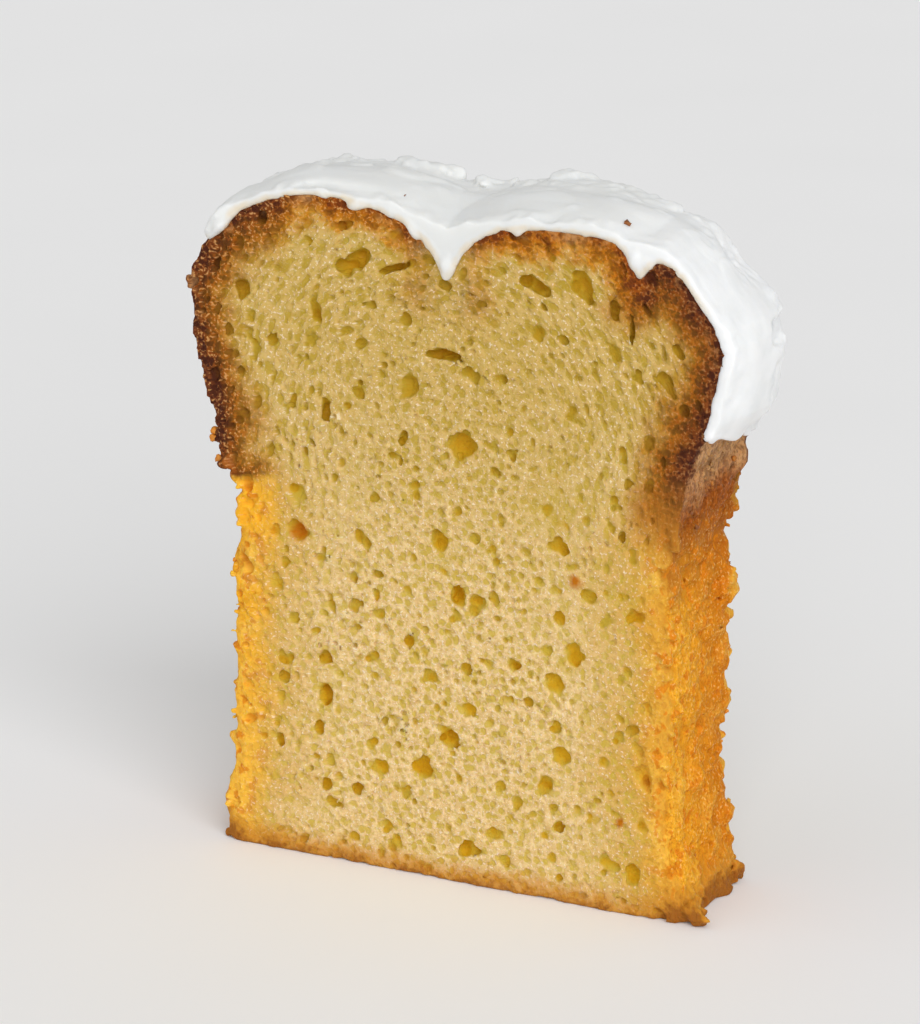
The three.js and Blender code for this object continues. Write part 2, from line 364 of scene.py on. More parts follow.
@dataclass(frozen=True)
class CrumbFinish:
    """Moist yellow crumb with pores painted as lit through the crumb, brown crust above, orange torn sides
    and a thin brown base.
    """

    wall_pale: Colour = srgb(236, 206, 152)
    wall_tan: Colour = srgb(216, 181, 118)
    # The risen tones darken the crumb towards the crown: partly its own tone, partly painted shade
    wall_risen_and_shaded: Colour = srgb(193, 159, 70)
    wall_side: Colour = srgb(208, 160, 68)
    olive: Colour = srgb(198, 168, 58)
    olive_risen_and_shaded: Colour = srgb(180, 149, 42)
    ochre: Colour = srgb(208, 160, 22)
    ochre_risen_and_shaded: Colour = srgb(184, 144, 26)
    amber: Colour = srgb(214, 150, 8)
    glint: Colour = srgb(253, 240, 220)
    crust_dark: Colour = srgb(64, 22, 4)
    crust_pit: Colour = srgb(158, 108, 18)
    crust_outer: Colour = srgb(108, 54, 24)
    crust_mid: Colour = srgb(134, 68, 12)
    crust_brown: Colour = srgb(168, 98, 12)
    crust_light: Colour = srgb(192, 140, 34)
    crust_gold: Colour = srgb(180, 116, 30)
    crust_glint: Colour = srgb(216, 162, 98)
    crown_dark: Colour = srgb(146, 70, 4)
    crown_light: Colour = srgb(206, 130, 10)
    face_brown: Colour = srgb(158, 80, 6)
    face_bloom: Colour = srgb(196, 146, 96)
    torn_band: Colour = srgb(246, 180, 40)
    torn_face: Colour = srgb(208, 124, 4)
    torn_pale: Colour = srgb(246, 194, 76)
    torn_deep: Colour = srgb(218, 128, 6)
    torn_glint: Colour = srgb(248, 208, 132)
    torn_brown: Colour = srgb(160, 84, 8)
    base_tan: Colour = srgb(196, 132, 36)
    base_brown: Colour = srgb(136, 74, 18)
    stain: Colour = srgb(186, 108, 0)

    # Heights at which a look starts and is full
    lip_level: float = 64.0
    crown_levels: Span = (98.0, 105.0)
    risen_and_shaded_levels: Span = (40.0, 92.0)
    plain_levels: Span = (76.0, 60.0)
    bloom_levels: Span = (67.0, 75.0)
    pale_levels: Span = (45.0, 15.0)
    scorched_face: Span = (46.0, 63.0)
    scorched_cut: Span = (59.0, 67.0)
    base_levels: Span = (5.0, 0.7)
    base_edge: Span = (1.6, -0.7)

    # Places across at which the crown starts on the left and on the right, and is full
    crown_left: Span = (-36.0, -27.0)
    crown_right: Span = (35.0, 31.0)

    # Widths of the browned and torn bands and of the lip's edge, and how the right side changes them
    side_width: float = 11.0
    side_widening: float = 0.5
    crown_width: float = 6.4
    torn_width: float = 10.0
    torn_narrowing: float = 2.5
    lip_softness: float = 1.2
    lip_softening: float = 4.0
    warm_reach: Span = (20.0, 3.0)

    def build(self) -> bpy.types.Material:
        """Writes the shader.

        Returns:
            The material for the cake.
        """
        r = Recipe("crumb", "flat")
        at = CrumbReads(r)
        edge = at.height + at.uneven(5.0, 3.0) - self.lip_level
        above = (edge / (self.lip_softness + self.lip_softening * at.right)).rise(-1.0, 1.0)
        crust, browned = self.crust(at, edge)
        torn, ripped = self.torn(at)
        foot = at.height + at.uneven(3.0, 3.0, 2.4) - 2.5 * at.rim.rise(5, 1)
        colour = r.layers(
            self.crumb(at),
            (r.mix(torn, crust, above), ripped + (browned - ripped) * above),
            (self.base_tan, 0.9 * foot.rise(*self.base_levels)),
            (self.base_brown, 0.75 * foot.rise(*self.base_edge)),
        )
        relief = 0.45 * (1 - at.holes) + 0.3 * at.fine + 0.3 * at.speck
        return r.surface({
            "Base Color": colour,
            "Roughness": 0.7 - 0.4 * at.speck.rise(0.58, 0.72),
            "Normal": r.bump(relief, 0.7, 0.45),
            "Specular IOR Level": 0.16,
            "Subsurface Weight": 0.35,
            "Subsurface Radius": (1.0, 0.6, 0.2),
            "Subsurface Scale": 2.0 * MM,
        })

    def crumb(self, at: CrumbReads) -> Value:
        """Colours the inside: pale walls, holes painted olive to ochre as if lit through the thin crumb,
        painted glints and the orange spots.

        Args:
            at: What the shader reads at a point.

        Returns:
            The colour.
        """
        r = at.recipe
        # Darker and more olive towards the crown: partly the crumb's own tone, partly painted shade
        risen = at.height.rise(*self.risen_and_shaded_levels)
        grainy = 0.25 * at.middle + 0.35 * at.fine + 0.4 * at.speck
        near_side = (at.rim + at.uneven(8.0)).rise(*self.warm_reach) * at.height.rise(*self.plain_levels)
        # Painted light in the holes: olive where shallow, ochre and amber deeper, for light glowing through
        # the thin crumb and deepening inside
        olive = r.mix(self.olive, self.olive_risen_and_shaded, risen)
        ochre = r.mix(self.ochre, self.ochre_risen_and_shaded, risen)
        pore = r.mix(olive, ochre, (0.5 * at.recess + at.middle).rise(0.6, 1.2))
        return r.layers(
            self.wall_pale,
            (self.wall_tan, grainy.rise(0.4, 0.6)),
            (self.wall_risen_and_shaded, 0.66 * risen),
            (self.wall_side, 0.9 * near_side),
            # Holes too small for the mesh get the same painted glow
            (olive, 0.85 * at.holes),
            (pore, at.shallow),
            (self.amber, 0.5 * at.deep),
            # Painted highlights
            (self.glint, 0.55 * at.glint),
            (self.stain, r.attribute("stain") * (1.05 + 0.6 * (at.fine - 0.5))),
        )

    def crust(self, at: CrumbReads, edge: Value) -> tuple[Value, Value]:
        """Colours the crust: dark at the rim, lighter inwards, with painted shade in its pits and lighter
        webs between them that are partly painted highlights.

        Args:
            at: What the shader reads at a point.
            edge: Height over the lip, with a wandering edge.

        Returns:
            The colour, and how browned the crumb is there.
        """
        r = at.recipe
        crown = at.height.rise(*self.crown_levels)
        crown = crown * at.across.rise(*self.crown_left) * at.across.rise(*self.crown_right)
        width = self.side_width + self.side_widening * at.right
        band = (at.rim + at.uneven(5.0, 4.0, 2.0)) / (width - (width - self.crown_width) * crown)
        side = r.ramp(band, [(0.0, self.crust_outer), (0.22, self.crust_mid),
                             (0.45, self.crust_brown), (1.0, self.crust_light)])
        top = r.ramp(band, [(0.0, self.crown_dark), (0.65, self.crown_light)])
        # Painted shade for the pits: near black at the rim, a lighter brown inwards
        pit = r.ramp(band, [(0.1, self.crust_dark), (0.75, self.crust_pit)])
        bloom = (at.height + at.uneven(8.0)).rise(*self.bloom_levels)
        pitted = r.larger(at.round_holes, at.shallow)
        # Lighter webs between the pits: partly the crust's own walls, partly painted highlights
        webs = at.speck.rise(0.53, 0.66) * (1 - pitted)
        lower = at.right * (edge / 9.0).rise(1.3, 0.2) * (1 - at.face)
        colour = r.layers(
            side,
            (top, crown),
            (r.mix(self.face_brown, self.face_bloom, bloom), at.face),
            # Painted shade in the holes, and in dark specks that stand for pits too small for the mesh
            (pit, (0.85 - 0.45 * at.face) * (1 - 0.4 * crown) * pitted),
            (pit, (0.5 - 0.2 * at.face) * (1 - 0.4 * crown) * at.pits),
            (self.crust_glint, (0.7 - 0.4 * at.face) * (1 - 0.6 * at.right) * webs),
            (self.crust_gold, 0.75 * lower),
        )
        return colour, band.rise(1.05, 0.4) * r.attribute("baked")

    def torn(self, at: CrumbReads) -> tuple[Value, Value]:
        """Colours the torn sides: orange with pale patches, deeper spots, painted shade in recesses and
        holes, and a scorched upper end.

        Args:
            at: What the shader reads at a point.

        Returns:
            The colour, and how far it reaches onto the cut.
        """
        r = at.recipe
        facing = r.larger(at.face * (0.25 + 0.75 * at.back), 0.25 * at.right)
        patches = (0.2 * at.fine + 0.3 * at.middle + 0.5 * at.broad).rise(0.47, 0.6)
        patches = r.larger(patches, 0.7 * at.height.rise(*self.pale_levels) * (1 - at.right))
        level = at.height + at.uneven(14.0)
        on_cut = 0.9 * at.right * level.rise(*self.scorched_cut)
        scorched = r.larger(at.face * level.rise(*self.scorched_face), on_cut)
        # Deeper orange at random spots and, as painted shade, in the recesses
        spots = r.larger(0.5 * at.recess.rise(0.4, 1.8), 0.85 * at.middle.rise(0.54, 0.66))
        colour = r.layers(
            self.torn_band,
            (self.torn_face, facing),
            (self.wall_side, 0.5 * at.right * (1 - at.face)),
            (self.torn_pale, (0.8 - 0.5 * at.face) * patches),
            (self.torn_brown, 0.75 * scorched),
            (self.torn_deep, spots),
            # Painted shade in the fine holes and pits of the torn face
            (self.torn_brown, r.larger(0.25 * at.holes, 0.4 * at.face * at.pits)),
            # Painted highlights on the torn sides
            (self.torn_glint, 0.5 * at.glint),
        )
        reach = (at.rim + at.uneven(2.5, 4.0, 2.0)) / (self.torn_width - self.torn_narrowing * at.right)
        return colour, reach.rise(1.0, 0.15)


@dataclass(frozen=True)
class IcingFinish:
    """Set white sugar icing, a little see-through where it is thin over the crust."""

    white: Colour = srgb(241, 242, 242)
    # The greyer white of the left half is painted shade
    left_shade: Colour = srgb(226, 227, 225)
    shade: Colour = srgb(228, 230, 230)
    thin: Colour = srgb(226, 204, 166)

    def build(self) -> bpy.types.Material:
        """Writes the shader.

        Returns:
            The material for the icing.
        """
        r = Recipe("icing")
        over = r.attribute("over")
        clouds = r.noise(5.0, 3.0, (2.0, 1.0, 1.0))
        # Painted shade: greyer on the left, where less light falls, whiter towards the right
        white = r.mix(self.left_shade, self.white, r.along("X").rise(18.0, 42.0))
        white = r.mix(white, self.shade, 0.6 * clouds.rise(0.4, 0.7))
        thin = (over + 1.6 * (r.noise(3.0, 2.0) - 0.5)).rise(0.95, 0.0)
        colour = r.mix(white, self.thin, 0.65 * thin * r.along("Z").rise(98, 104))
        relief = 0.7 * clouds + 0.3 * r.noise(0.6, 2.0)
        return r.surface({
            "Base Color": colour,
            "Roughness": 0.46 + 0.2 * clouds,
            "Normal": r.bump(relief, 0.15, 0.3),
            "Specular IOR Level": 0.25,
            "Subsurface Weight": 0.7,
            "Subsurface Radius": (1.0, 0.95, 0.88),
            "Subsurface Scale": 2.5 * MM,
        })


@dataclass(frozen=True)
class LooseCrumbFinish:
    """Crumbs that came off the crust and the torn sides, each with a tone of its own."""

    orange: Colour = srgb(218, 138, 34)
    brown: Colour = srgb(132, 76, 30)

    def build(self) -> bpy.types.Material:
        """Writes the shader.

        Returns:
            The material for the loose crumbs.
        """
        r = Recipe("loose_crumb")
        fine = r.noise(0.5, 2.0)
        colour = r.mix(self.orange, self.brown, (r.attribute("tone") + 0.5 * (fine - 0.5)).rise(0.1, 0.9))
        return r.surface({
            "Base Color": colour,
            "Roughness": 0.5 + 0.3 * fine,
            "Normal": r.bump(r.noise(0.3, 2.0), 0.5, 0.15),
            "Subsurface Weight": 0.2,
            "Subsurface Radius": (1.0, 0.55, 0.18),
            "Subsurface Scale": 1.0 * MM,
        })


@dataclass(frozen=True)
class FloorFinish:
    """A plain pale floor."""

    pale: Colour = (0.9, 0.9, 0.9, 1.0)
    paler: Colour = (0.92, 0.92, 0.92, 1.0)

    def build(self) -> bpy.types.Material:
        """Writes the shader."""
        r = Recipe("floor")
        return r.surface({"Base Color": r.mix(self.pale, self.paler, r.noise(120.0, 2.0)),
                          "Roughness": 0.7 + 0.2 * r.noise(60.0)})


# Working in voxels


@dataclass
class VoxelBlock:
    """Signed distances in millimetres on a block of voxels, negative inside the food."""

    low: Point = (-52.0, -14.0, -1.5)
    high: Point = (52.0, 14.0, 119.5)
    size: float = 0.3
    band: int = 10
    rough_reach: float = 1.35
    values: np.ndarray = field(init=False)

    def __post_init__(self) -> None:
        """Works out the block's own numbers."""
        self.first = np.floor(np.array(self.low) / self.size).astype(int)
        self.shape = tuple(np.ceil((np.array(self.high) - self.low) / self.size).astype(int))
        self.axes = [self.size * (self.first[k] + np.arange(self.shape[k])) for k in range(3)]
        self.values = np.zeros(self.shape, np.float32)

    def fill_from(self, node: bpy.types.Object) -> None:
        """Takes the distances from a solid of the frame.

        Args:
            node: The solid's object.
        """
        points, triangles = mesh_arrays(node.data)
        transform = openvdb.createLinearTransform(voxelSize=self.size)
        level_set = openvdb.FloatGrid.createLevelSetFromPolygons(
            points.astype(np.float32), triangles=triangles.astype(np.uint32),
            transform=transform, halfWidth=self.band)
        level_set.copyToArray(self.values, ijk=tuple(int(i) for i in self.first))

    def noise(self, cell: Point | float, random: np.random.Generator) -> np.ndarray:
        """Smooth noise over the whole block, with a spread of about 1.

        Args:
            cell: Size of its lumps in millimetres, along X, Y and Z or alike.
            random: Where the draws come from.

        Returns:
            One number for each voxel.
        """
        sizes = np.broadcast_to(cell, 3)
        coarse = [int(n * self.size / c) + 4 for n, c in zip(self.shape, sizes)]
        lumps = random.standard_normal(coarse).astype(np.float32)
        for k in range(3):
            place = np.arange(self.shape[k]) * self.size / sizes[k]
            whole = place.astype(int)
            part = (place - whole).astype(np.float32)
            weights = ((1 - part) ** 3 / 6, (3 * part ** 3 - 6 * part ** 2 + 4) / 6,
                       (-3 * part ** 3 + 3 * part ** 2 + 3 * part + 1) / 6, part ** 3 / 6)
            row = [1, 1, 1]
            row[k] = -1
            lumps = sum(weight.reshape(row) * np.take(lumps, whole + n, axis=k)
                        for n, weight in enumerate(weights))
        return lumps / lumps.std()

    def blob(self, centre: Point, half: Point, tilt: float, join: Join,
             rough: np.ndarray | None = None, roughness: float = 0.0, blend: float = 0.0) -> None:
        """Adds or carves one ellipsoid.

        Args:
            centre: Its middle.
            half: Its half sizes along X, Y and Z, before it is tilted.
            tilt: Turn in the plane of the cut, in radians, with the right end rising.
            join: Whether it adds to the food or is carved out of it.
            rough: Noise for an uneven outline.
            roughness: How much of that noise, as a share of its size.
            blend: Width of a soft joint with the food, in millimetres.
        """
        reach = max(half) * self.rough_reach + self.size + blend
        window = []
        for k in range(3):
            start = int((centre[k] - reach) / self.size) - self.first[k]
            stop = int((centre[k] + reach) / self.size) - self.first[k] + 2
            window.append(slice(max(start, 0), min(stop, self.shape[k])))
        if any(part.start >= part.stop for part in window):
            return
        x = (self.axes[0][window[0]] - centre[0])[:, None, None]
        y = (self.axes[1][window[1]] - centre[1])[None, :, None]
        z = (self.axes[2][window[2]] - centre[2])[None, None, :]
        along = x * math.cos(tilt) + z * math.sin(tilt)
        across = z * math.cos(tilt) - x * math.sin(tilt)
        share = np.sqrt((along / half[0]) ** 2 + (y / half[1]) ** 2 + (across / half[2]) ** 2) - 1
        if rough is not None:
            share = share + roughness * rough[tuple(window)]
        distance = (share * min(half)).astype(np.float32)
        old = self.values[tuple(window)]
        if join is Join.CARVE:
            new = -soft_min(distance, -old, blend) if blend else np.maximum(old, -distance)
        else:
            new = soft_min(distance, old, blend) if blend else np.minimum(old, distance)
        self.values[tuple(window)] = new

    def read(self, points: np.ndarray, values: np.ndarray | None = None) -> np.ndarray:
        """Reads the block, or another array on its voxels, at points in millimetres."""
        return between(self.values if values is None else values, points / self.size - self.first)

    def settle(self, place: np.ndarray, way: np.ndarray, depth: float, reach: float = 8.0) -> np.ndarray:
        """Moves a place along a way until it lies on the food.

        Args:
            place: Where it starts.
            way: The way to go, of length 1.
            depth: Signed distance to the food at which it stops.
            reach: The farthest that it goes, in millimetres.

        Returns:
            Where it stops.
        """
        steps = np.arange(0, reach, 0.1)
        line = place + steps[:, None] * way
        away = self.read(line)
        return line[np.argmax(away < max(depth, away.min() + 1e-6))]

    def top_at(self, x: float, y: float) -> float:
        """Height of the highest food above a place on the floor.

        Args:
            x: Place across.
            y: Place along the loaf.

        Returns:
            The height in millimetres.
        """
        heights = self.axes[2][::-1]
        column = np.column_stack([np.full(len(heights), x), np.full(len(heights), y), heights])
        return float(heights[np.argmax(self.read(column) < 0)])

    def to_mesh(self, name: str, triangles: int, spare_front: float = 1.0) -> bpy.types.Mesh:
        """Makes the surface as one closed mesh in metres, simplified to a number of triangles.

        Args:
            name: The mesh's name.
            triangles: The most triangles that it may have.
            spare_front: Share of the triangles that stays in a first pass over the back half alone.

        Returns:
            The mesh.
        """
        grid = openvdb.FloatGrid(self.size * self.band)
        grid.copyFromArray(self.values, ijk=tuple(int(i) for i in self.first))
        grid.transform = openvdb.createLinearTransform(voxelSize=self.size)
        points, _, quads = grid.convertToPolygons(isovalue=0.0, adaptivity=0.0)
        points, quads = largest_shell(np.asarray(points, float), np.asarray(quads, np.int64))
        corners = points[quads]
        turned = np.cross(corners[:, 2] - corners[:, 0], corners[:, 3] - corners[:, 1])
        if np.einsum("ij,ij->", corners.mean(1), turned) < 0:
            quads = quads[:, ::-1]
        mesh = bpy.data.meshes.new(name)
        mesh.from_pydata(points * MM, [], quads)
        LOG.info("%s: %d triangles before it is simplified", name, 2 * len(quads))
        if spare_front < 1:
            mesh = simplified(mesh, spare_front, smooth(points[:, 1], -4.0, 2.0))
        return simplified(mesh, triangles / len(mesh.polygons) / (1 if spare_front < 1 else 2))


def between(values: np.ndarray, place: np.ndarray) -> np.ndarray:
    """Reads an array at places between its cells.

    Args:
        values: The array.
        place: Places counted in cells, one in each row.

    Returns:
        One number for each place.
    """
    whole = np.clip(np.floor(place).astype(int), 0, np.array(values.shape) - 2)
    part = np.clip(place - whole, 0, 1)
    total = np.zeros(len(place))
    for corner in np.ndindex((2,) * values.ndim):
        weight = np.prod(np.where(np.array(corner) == 1, part, 1 - part), axis=1)
        total += weight * values[tuple((whole + corner).T)]
    return total


def mesh_arrays(mesh: bpy.types.Mesh) -> tuple[np.ndarray, np.ndarray]:
    """A mesh's points in millimetres and its triangles.

    Args:
        mesh: The mesh, in metres.

    Returns:
        Points, one in each row, and the triangles' point numbers.
    """
    points = np.zeros(len(mesh.vertices) * 3, np.float32)
    mesh.vertices.foreach_get("co", points)
    mesh.calc_loop_triangles()
    triangles = np.zeros(len(mesh.loop_triangles) * 3, np.int32)
    mesh.loop_triangles.foreach_get("vertices", triangles)
    return points.reshape(-1, 3).astype(float) / MM, triangles.reshape(-1, 3)


def facets(mesh: bpy.types.Mesh) -> tuple[np.ndarray, np.ndarray, np.ndarray]:
    """A mesh's triangles with the way that each faces.

    Args:
        mesh: The mesh, in metres.

    Returns:
        Corners in millimetres, normals, and twice the areas.
    """
    points, triangles = mesh_arrays(mesh)
    corners = points[triangles]
    turned = np.cross(corners[:, 1] - corners[:, 0], corners[:, 2] - corners[:, 0])
    area = np.linalg.norm(turned, axis=1)
    return corners, turned / np.maximum(area, 1e-9)[:, None], area


def largest_shell(points: np.ndarray, quads: np.ndarray) -> tuple[np.ndarray, np.ndarray]:
    """Keeps the largest connected shell, without loose scraps and sealed hollows.

    Args:
        points: All points.
        quads: All faces.

    Returns:
        The points and faces that stay.
    """
    label = np.arange(len(points))
    start = quads.ravel()
    end = np.roll(quads, -1, axis=1).ravel()
    while True:
        lowest = label.copy()
        np.minimum.at(lowest, start, label[end])
        np.minimum.at(lowest, end, label[start])
        lowest = lowest[lowest]
        if np.array_equal(lowest, label):
            break
        label = lowest
    names, counts = np.unique(label, return_counts=True)
    kept = label == names[counts.argmax()]
    renumbered = np.cumsum(kept) - 1
    return points[kept], renumbered[quads[kept[quads[:, 0]]]]


def simplified(mesh: bpy.types.Mesh, ratio: float, where: np.ndarray | None = None) -> bpy.types.Mesh:
    """Collapses edges until a share of the triangles is left.

    Args:
        mesh: The full mesh.
        ratio: The share that stays.
        where: For each point, 1 where edges go first and 0 where they stay.

    Returns:
        The simplified mesh with smooth shading.
    """
    carrier = bpy.data.objects.new(mesh.name, mesh)
    bpy.context.scene.collection.objects.link(carrier)
    decimate = carrier.modifiers.new("simplify", "DECIMATE")
    decimate.ratio = ratio
    decimate.use_collapse_triangulate = True
    if where is not None:
        group = carrier.vertex_groups.new(name="first")
        group.add(np.flatnonzero(where > 0.5).tolist(), 1.0, "REPLACE")
        decimate.vertex_group = group.name
        decimate.vertex_group_factor = 1.0
    evaluated = carrier.evaluated_get(bpy.context.evaluated_depsgraph_get())
    result = bpy.data.meshes.new_from_object(evaluated)
    bpy.data.objects.remove(carrier)
    result.shade_smooth()
    return result


def set_attribute(mesh: bpy.types.Mesh, name: str, values: np.ndarray) -> None:
    """Keeps one number, or one vector, at each point of a mesh for its shader to read.

    Args:
        mesh: The mesh.
        name: The name that the shader asks for.
        values: One number, or one row of three, for each point.
    """
    kind, key = ("FLOAT", "value") if values.ndim == 1 else ("FLOAT_VECTOR", "vector")
    attribute = mesh.attributes.new(name, kind, "POINT")
    attribute.data.foreach_set(key, np.ascontiguousarray(values, np.float32).ravel())


def add_piece(name: str, mesh: bpy.types.Mesh, material: bpy.types.Material) -> bpy.types.Object:
    """Puts a piece into the scene, riding on the slice's only body.

    Args:
        name: The piece's name.
        mesh: Its mesh, in the frame.
        material: Its finish.

    Returns:
        The new object.
    """
    mesh.materials.clear()
    mesh.materials.append(material)
    piece = bpy.data.objects.new(name, mesh)
    bpy.context.scene.collection.objects.link(piece)
    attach(piece, BODY)
    return piece


# Sub-assemblies


@dataclass
class RimMap:
    """How deep a point lies under the crust or torn side, from two sections through the solid."""

    node: bpy.types.Object
    station: float = 8.0
    base_level: float = 0.3
    step: float = 0.5
    low: tuple[float, float] = (-52.0, -2.0)
    high: tuple[float, float] = (52.0, 119.0)
    maps: dict[Cut, np.ndarray] = field(init=False)

    def __post_init__(self) -> None:
        """Measures both sections."""
        self.maps = {cut: self.measure(cut.value * self.station) for cut in Cut}

    def measure(self, y: float) -> np.ndarray:
        """Distance to the section's outline over a flat grid.

        Args:
            y: Where the section is taken.

        Returns:
            Distances in millimetres, by X and Z.
        """
        points, triangles = mesh_arrays(self.node.data)
        xs = np.arange(self.low[0], self.high[0], self.step)
        zs = np.arange(self.low[1], self.high[1], self.step)
        here = np.stack(np.meshgrid(xs, zs, indexing="ij"), -1)
        nearest = np.full(here.shape[:2], 1e6)
        for corners in points[triangles]:
            above = corners[:, 1] > y
            if above.all() or not above.any():
                continue
            ends = []
            for a, b in ((0, 1), (1, 2), (2, 0)):
                if above[a] != above[b]:
                    share = (y - corners[a, 1]) / (corners[b, 1] - corners[a, 1])
                    ends.append((corners[a] + share * (corners[b] - corners[a]))[[0, 2]])
            if max(ends[0][1], ends[1][1]) < self.base_level:
                continue
            along = ends[1] - ends[0]
            part = np.clip(((here - ends[0]) @ along) / max(along @ along, 1e-9), 0, 1)
            gap = here - ends[0] - part[..., None] * along
            nearest = np.minimum(nearest, np.hypot(gap[..., 0], gap[..., 1]))
        return nearest

    def over(self, block: VoxelBlock) -> np.ndarray:
        """Depth under the rim for all voxels of a block.

        Args:
            block: The block.

        Returns:
            Depths in millimetres.
        """
        sheets = {}
        for cut, measured in self.maps.items():
            for axis, start in ((0, 0), (2, 1)):
                place = (block.axes[axis] - self.low[start]) / self.step
                whole = np.clip(place.astype(int), 0, measured.shape[0] - 2)
                part = np.clip(place - whole, 0, 1)[:, None]
                measured = (measured[whole] * (1 - part) + measured[whole + 1] * part).T
            sheets[cut] = measured.astype(np.float32)[:, None, :]
        share = ((block.axes[1] + self.station) / (2 * self.station)).astype(np.float32)[None, :, None]
        return np.maximum(sheets[Cut.FRONT] * (1 - share) + sheets[Cut.BACK] * share, 0)

    def read(self, points: np.ndarray) -> np.ndarray:
        """Depth under the rim at points.

        Args:
            points: Places in millimetres, one in each row.

        Returns:
            Depths in millimetres.
        """
        place = (points[:, [0, 2]] - self.low) / self.step
        front, back = (between(self.maps[cut], place) for cut in Cut)
        share = np.clip((points[:, 1] + self.station) / (2 * self.station), -0.2, 1.2)
        return np.maximum(front * (1 - share) + back * share, 0)


@dataclass(frozen=True)
class PoreKind:
    """A size class of gas holes: how many open in a square millimetre of the cut, and how wide."""

    density: float
    smallest: float
    largest: float
    apart: float


@dataclass(frozen=True)
class CragKind:
    """A kind of lump or hollow on the sides: how many, between which heights, how large and how far out."""

    count: int
    low: float
    high: float
    smallest: float
    largest: float
    offset: float
    join: Join
    blend: float = 0.0


@dataclass
class Cake:
    """The crumb with its crust: the solid's form with torn sides, crags and gas holes worked into it."""

    node: bpy.types.Object
    finish: CrumbFinish = CrumbFinish()
    seed: int = 11
    triangles: int = 196_000
    back_share: float = 0.6
    middle: float = -1.06
    thickness: float = 23.0
    lip_level: float = 64.0
    crown_level: float = 100.0
    grain_level: float = 75.0
    grain_rise: Span = (45.0, 75.0)
    grain_reach: float = 30.0
    grain_stretch: float = 2.2
    corner_size: float = 1.7
    kinds: tuple[PoreKind, ...] = (
        PoreKind(0.003, 2.2, 3.0, 0.9),
        PoreKind(0.046, 1.3, 2.2, 0.66),
        PoreKind(0.27, 0.75, 1.3, 0.55),
        PoreKind(0.5, 0.5, 0.75, 0.5),
    )
    crag_kinds: tuple[CragKind, ...] = (
        CragKind(240, 0.8, 64.0, 0.5, 1.1, 0.45, Join.CARVE, 0.3),
        CragKind(200, 0.8, 64.0, 0.7, 1.5, -0.55, Join.ADD, 0.8),
        CragKind(450, 0.8, 64.0, 0.3, 0.65, -0.5, Join.ADD, 0.4),
        CragKind(200, 63.0, 67.0, 0.5, 1.0, -0.3, Join.ADD),
        CragKind(700, 65.0, 103.0, 0.3, 0.75, 0.3, Join.CARVE),
        CragKind(1500, 65.0, 103.0, 0.2, 0.5, -0.2, Join.ADD),
        CragKind(70, 0.5, 4.0, 0.3, 0.8, -0.3, Join.ADD),
    )
    lump_size: float = 2.2
    wave_size: float = 5.0
    wave_height: float = 0.07
    grit_size: float = 0.8
    grit_on_cut: float = 0.1
    grit_on_side: float = 0.14
    corner_loss: float = 0.9
    hole_depth: Span = (0.2, 0.44)
    hole_inset: Span = (-0.3, 0.4)
    named_depth: float = 1.4
    wide_hole: float = 1.7
    block: VoxelBlock = field(default_factory=lambda: VoxelBlock(band=18))

    # Holes of the front cut that stand out: x from the loaf's middle, z, width, height, tilt in degrees
    front_holes: Rows = (
        (-16.7, 102.4, 7.0, 2.7, 36), (-37.3, 95.7, 2.5, 3.2, 0), (-0.7, 89.1, 6.0, 1.7, 0),
        (2.1, 74.6, 4.5, 4.2, 0), (-7.1, 83.4, 3.0, 3.7, 20), (-27.6, 56.1, 2.9, 3.7, 30),
        (-1.9, 58.0, 3.0, 3.4, 0), (1.3, 49.4, 3.0, 3.4, -30), (4.7, 48.7, 3.0, 3.0, 0),
        (-23.0, 28.6, 2.4, 4.0, 0), (-0.3, 24.9, 3.0, 3.5, 30), (-12.9, 17.6, 3.6, 2.8, -20),
        (-5.1, 18.7, 3.4, 3.9, 40), (19.9, 25.2, 3.0, 3.2, 0), (17.1, 19.8, 2.6, 3.2, 0),
        (34.4, 23.8, 2.0, 4.6, 12), (32.5, 6.9, 2.4, 4.0, 0), (22.0, 42.3, 2.8, 3.4, 0),
        (18.8, 36.9, 3.2, 3.0, -40), (23.1, 103.2, 2.8, 4.6, 28), (15.2, 102.2, 5.0, 2.0, -28),
        (-33.6, 107.5, 1.8, 2.8, -10), (-42.0, 99.3, 1.2, 2.8, 0), (-23.8, 93.0, 1.8, 3.2, 0),
        (-25.3, 104.8, 2.0, 2.0, 0), (-16.3, 81.2, 2.3, 2.7, 0), (-8.3, 74.5, 1.9, 3.2, 0),
        (-22.4, 77.4, 1.5, 3.6, 0), (28.6, 99.9, 2.0, 2.8, 20), (31.5, 97.2, 1.2, 4.4, 5),
        (15.7, 94.6, 2.4, 2.4, 0), (3.7, 86.4, 3.0, 2.4, -20), (-7.4, 40.4, 2.4, 3.0, 30),
        (-3.8, 34.5, 2.8, 2.6, 0), (-24.2, 22.8, 1.4, 3.6, 0), (-22.9, 35.2, 2.6, 2.0, 20),
        (-13.4, 47.5, 1.8, 2.7, 0), (15.4, 53.4, 2.0, 2.7, 0), (32.7, 50.5, 3.2, 1.9, -10),
        (19.5, 48.0, 1.9, 2.9, 0), (17.4, 66.0, 2.0, 2.5, 0), (11.4, 38.9, 2.2, 2.6, 0),
        (-17.2, 13.0, 2.4, 2.5, 0), (7.6, 9.5, 3.2, 2.0, 10), (-31.5, 19.1, 2.0, 2.4, 0),
        (37.4, 22.3, 1.6, 3.4, 5), (34.1, 15.7, 1.7, 3.8, 8), (28.2, 7.8, 3.4, 3.0, 0),
        (-10.1, 102.0, 5.0, 1.2, 20),
    )

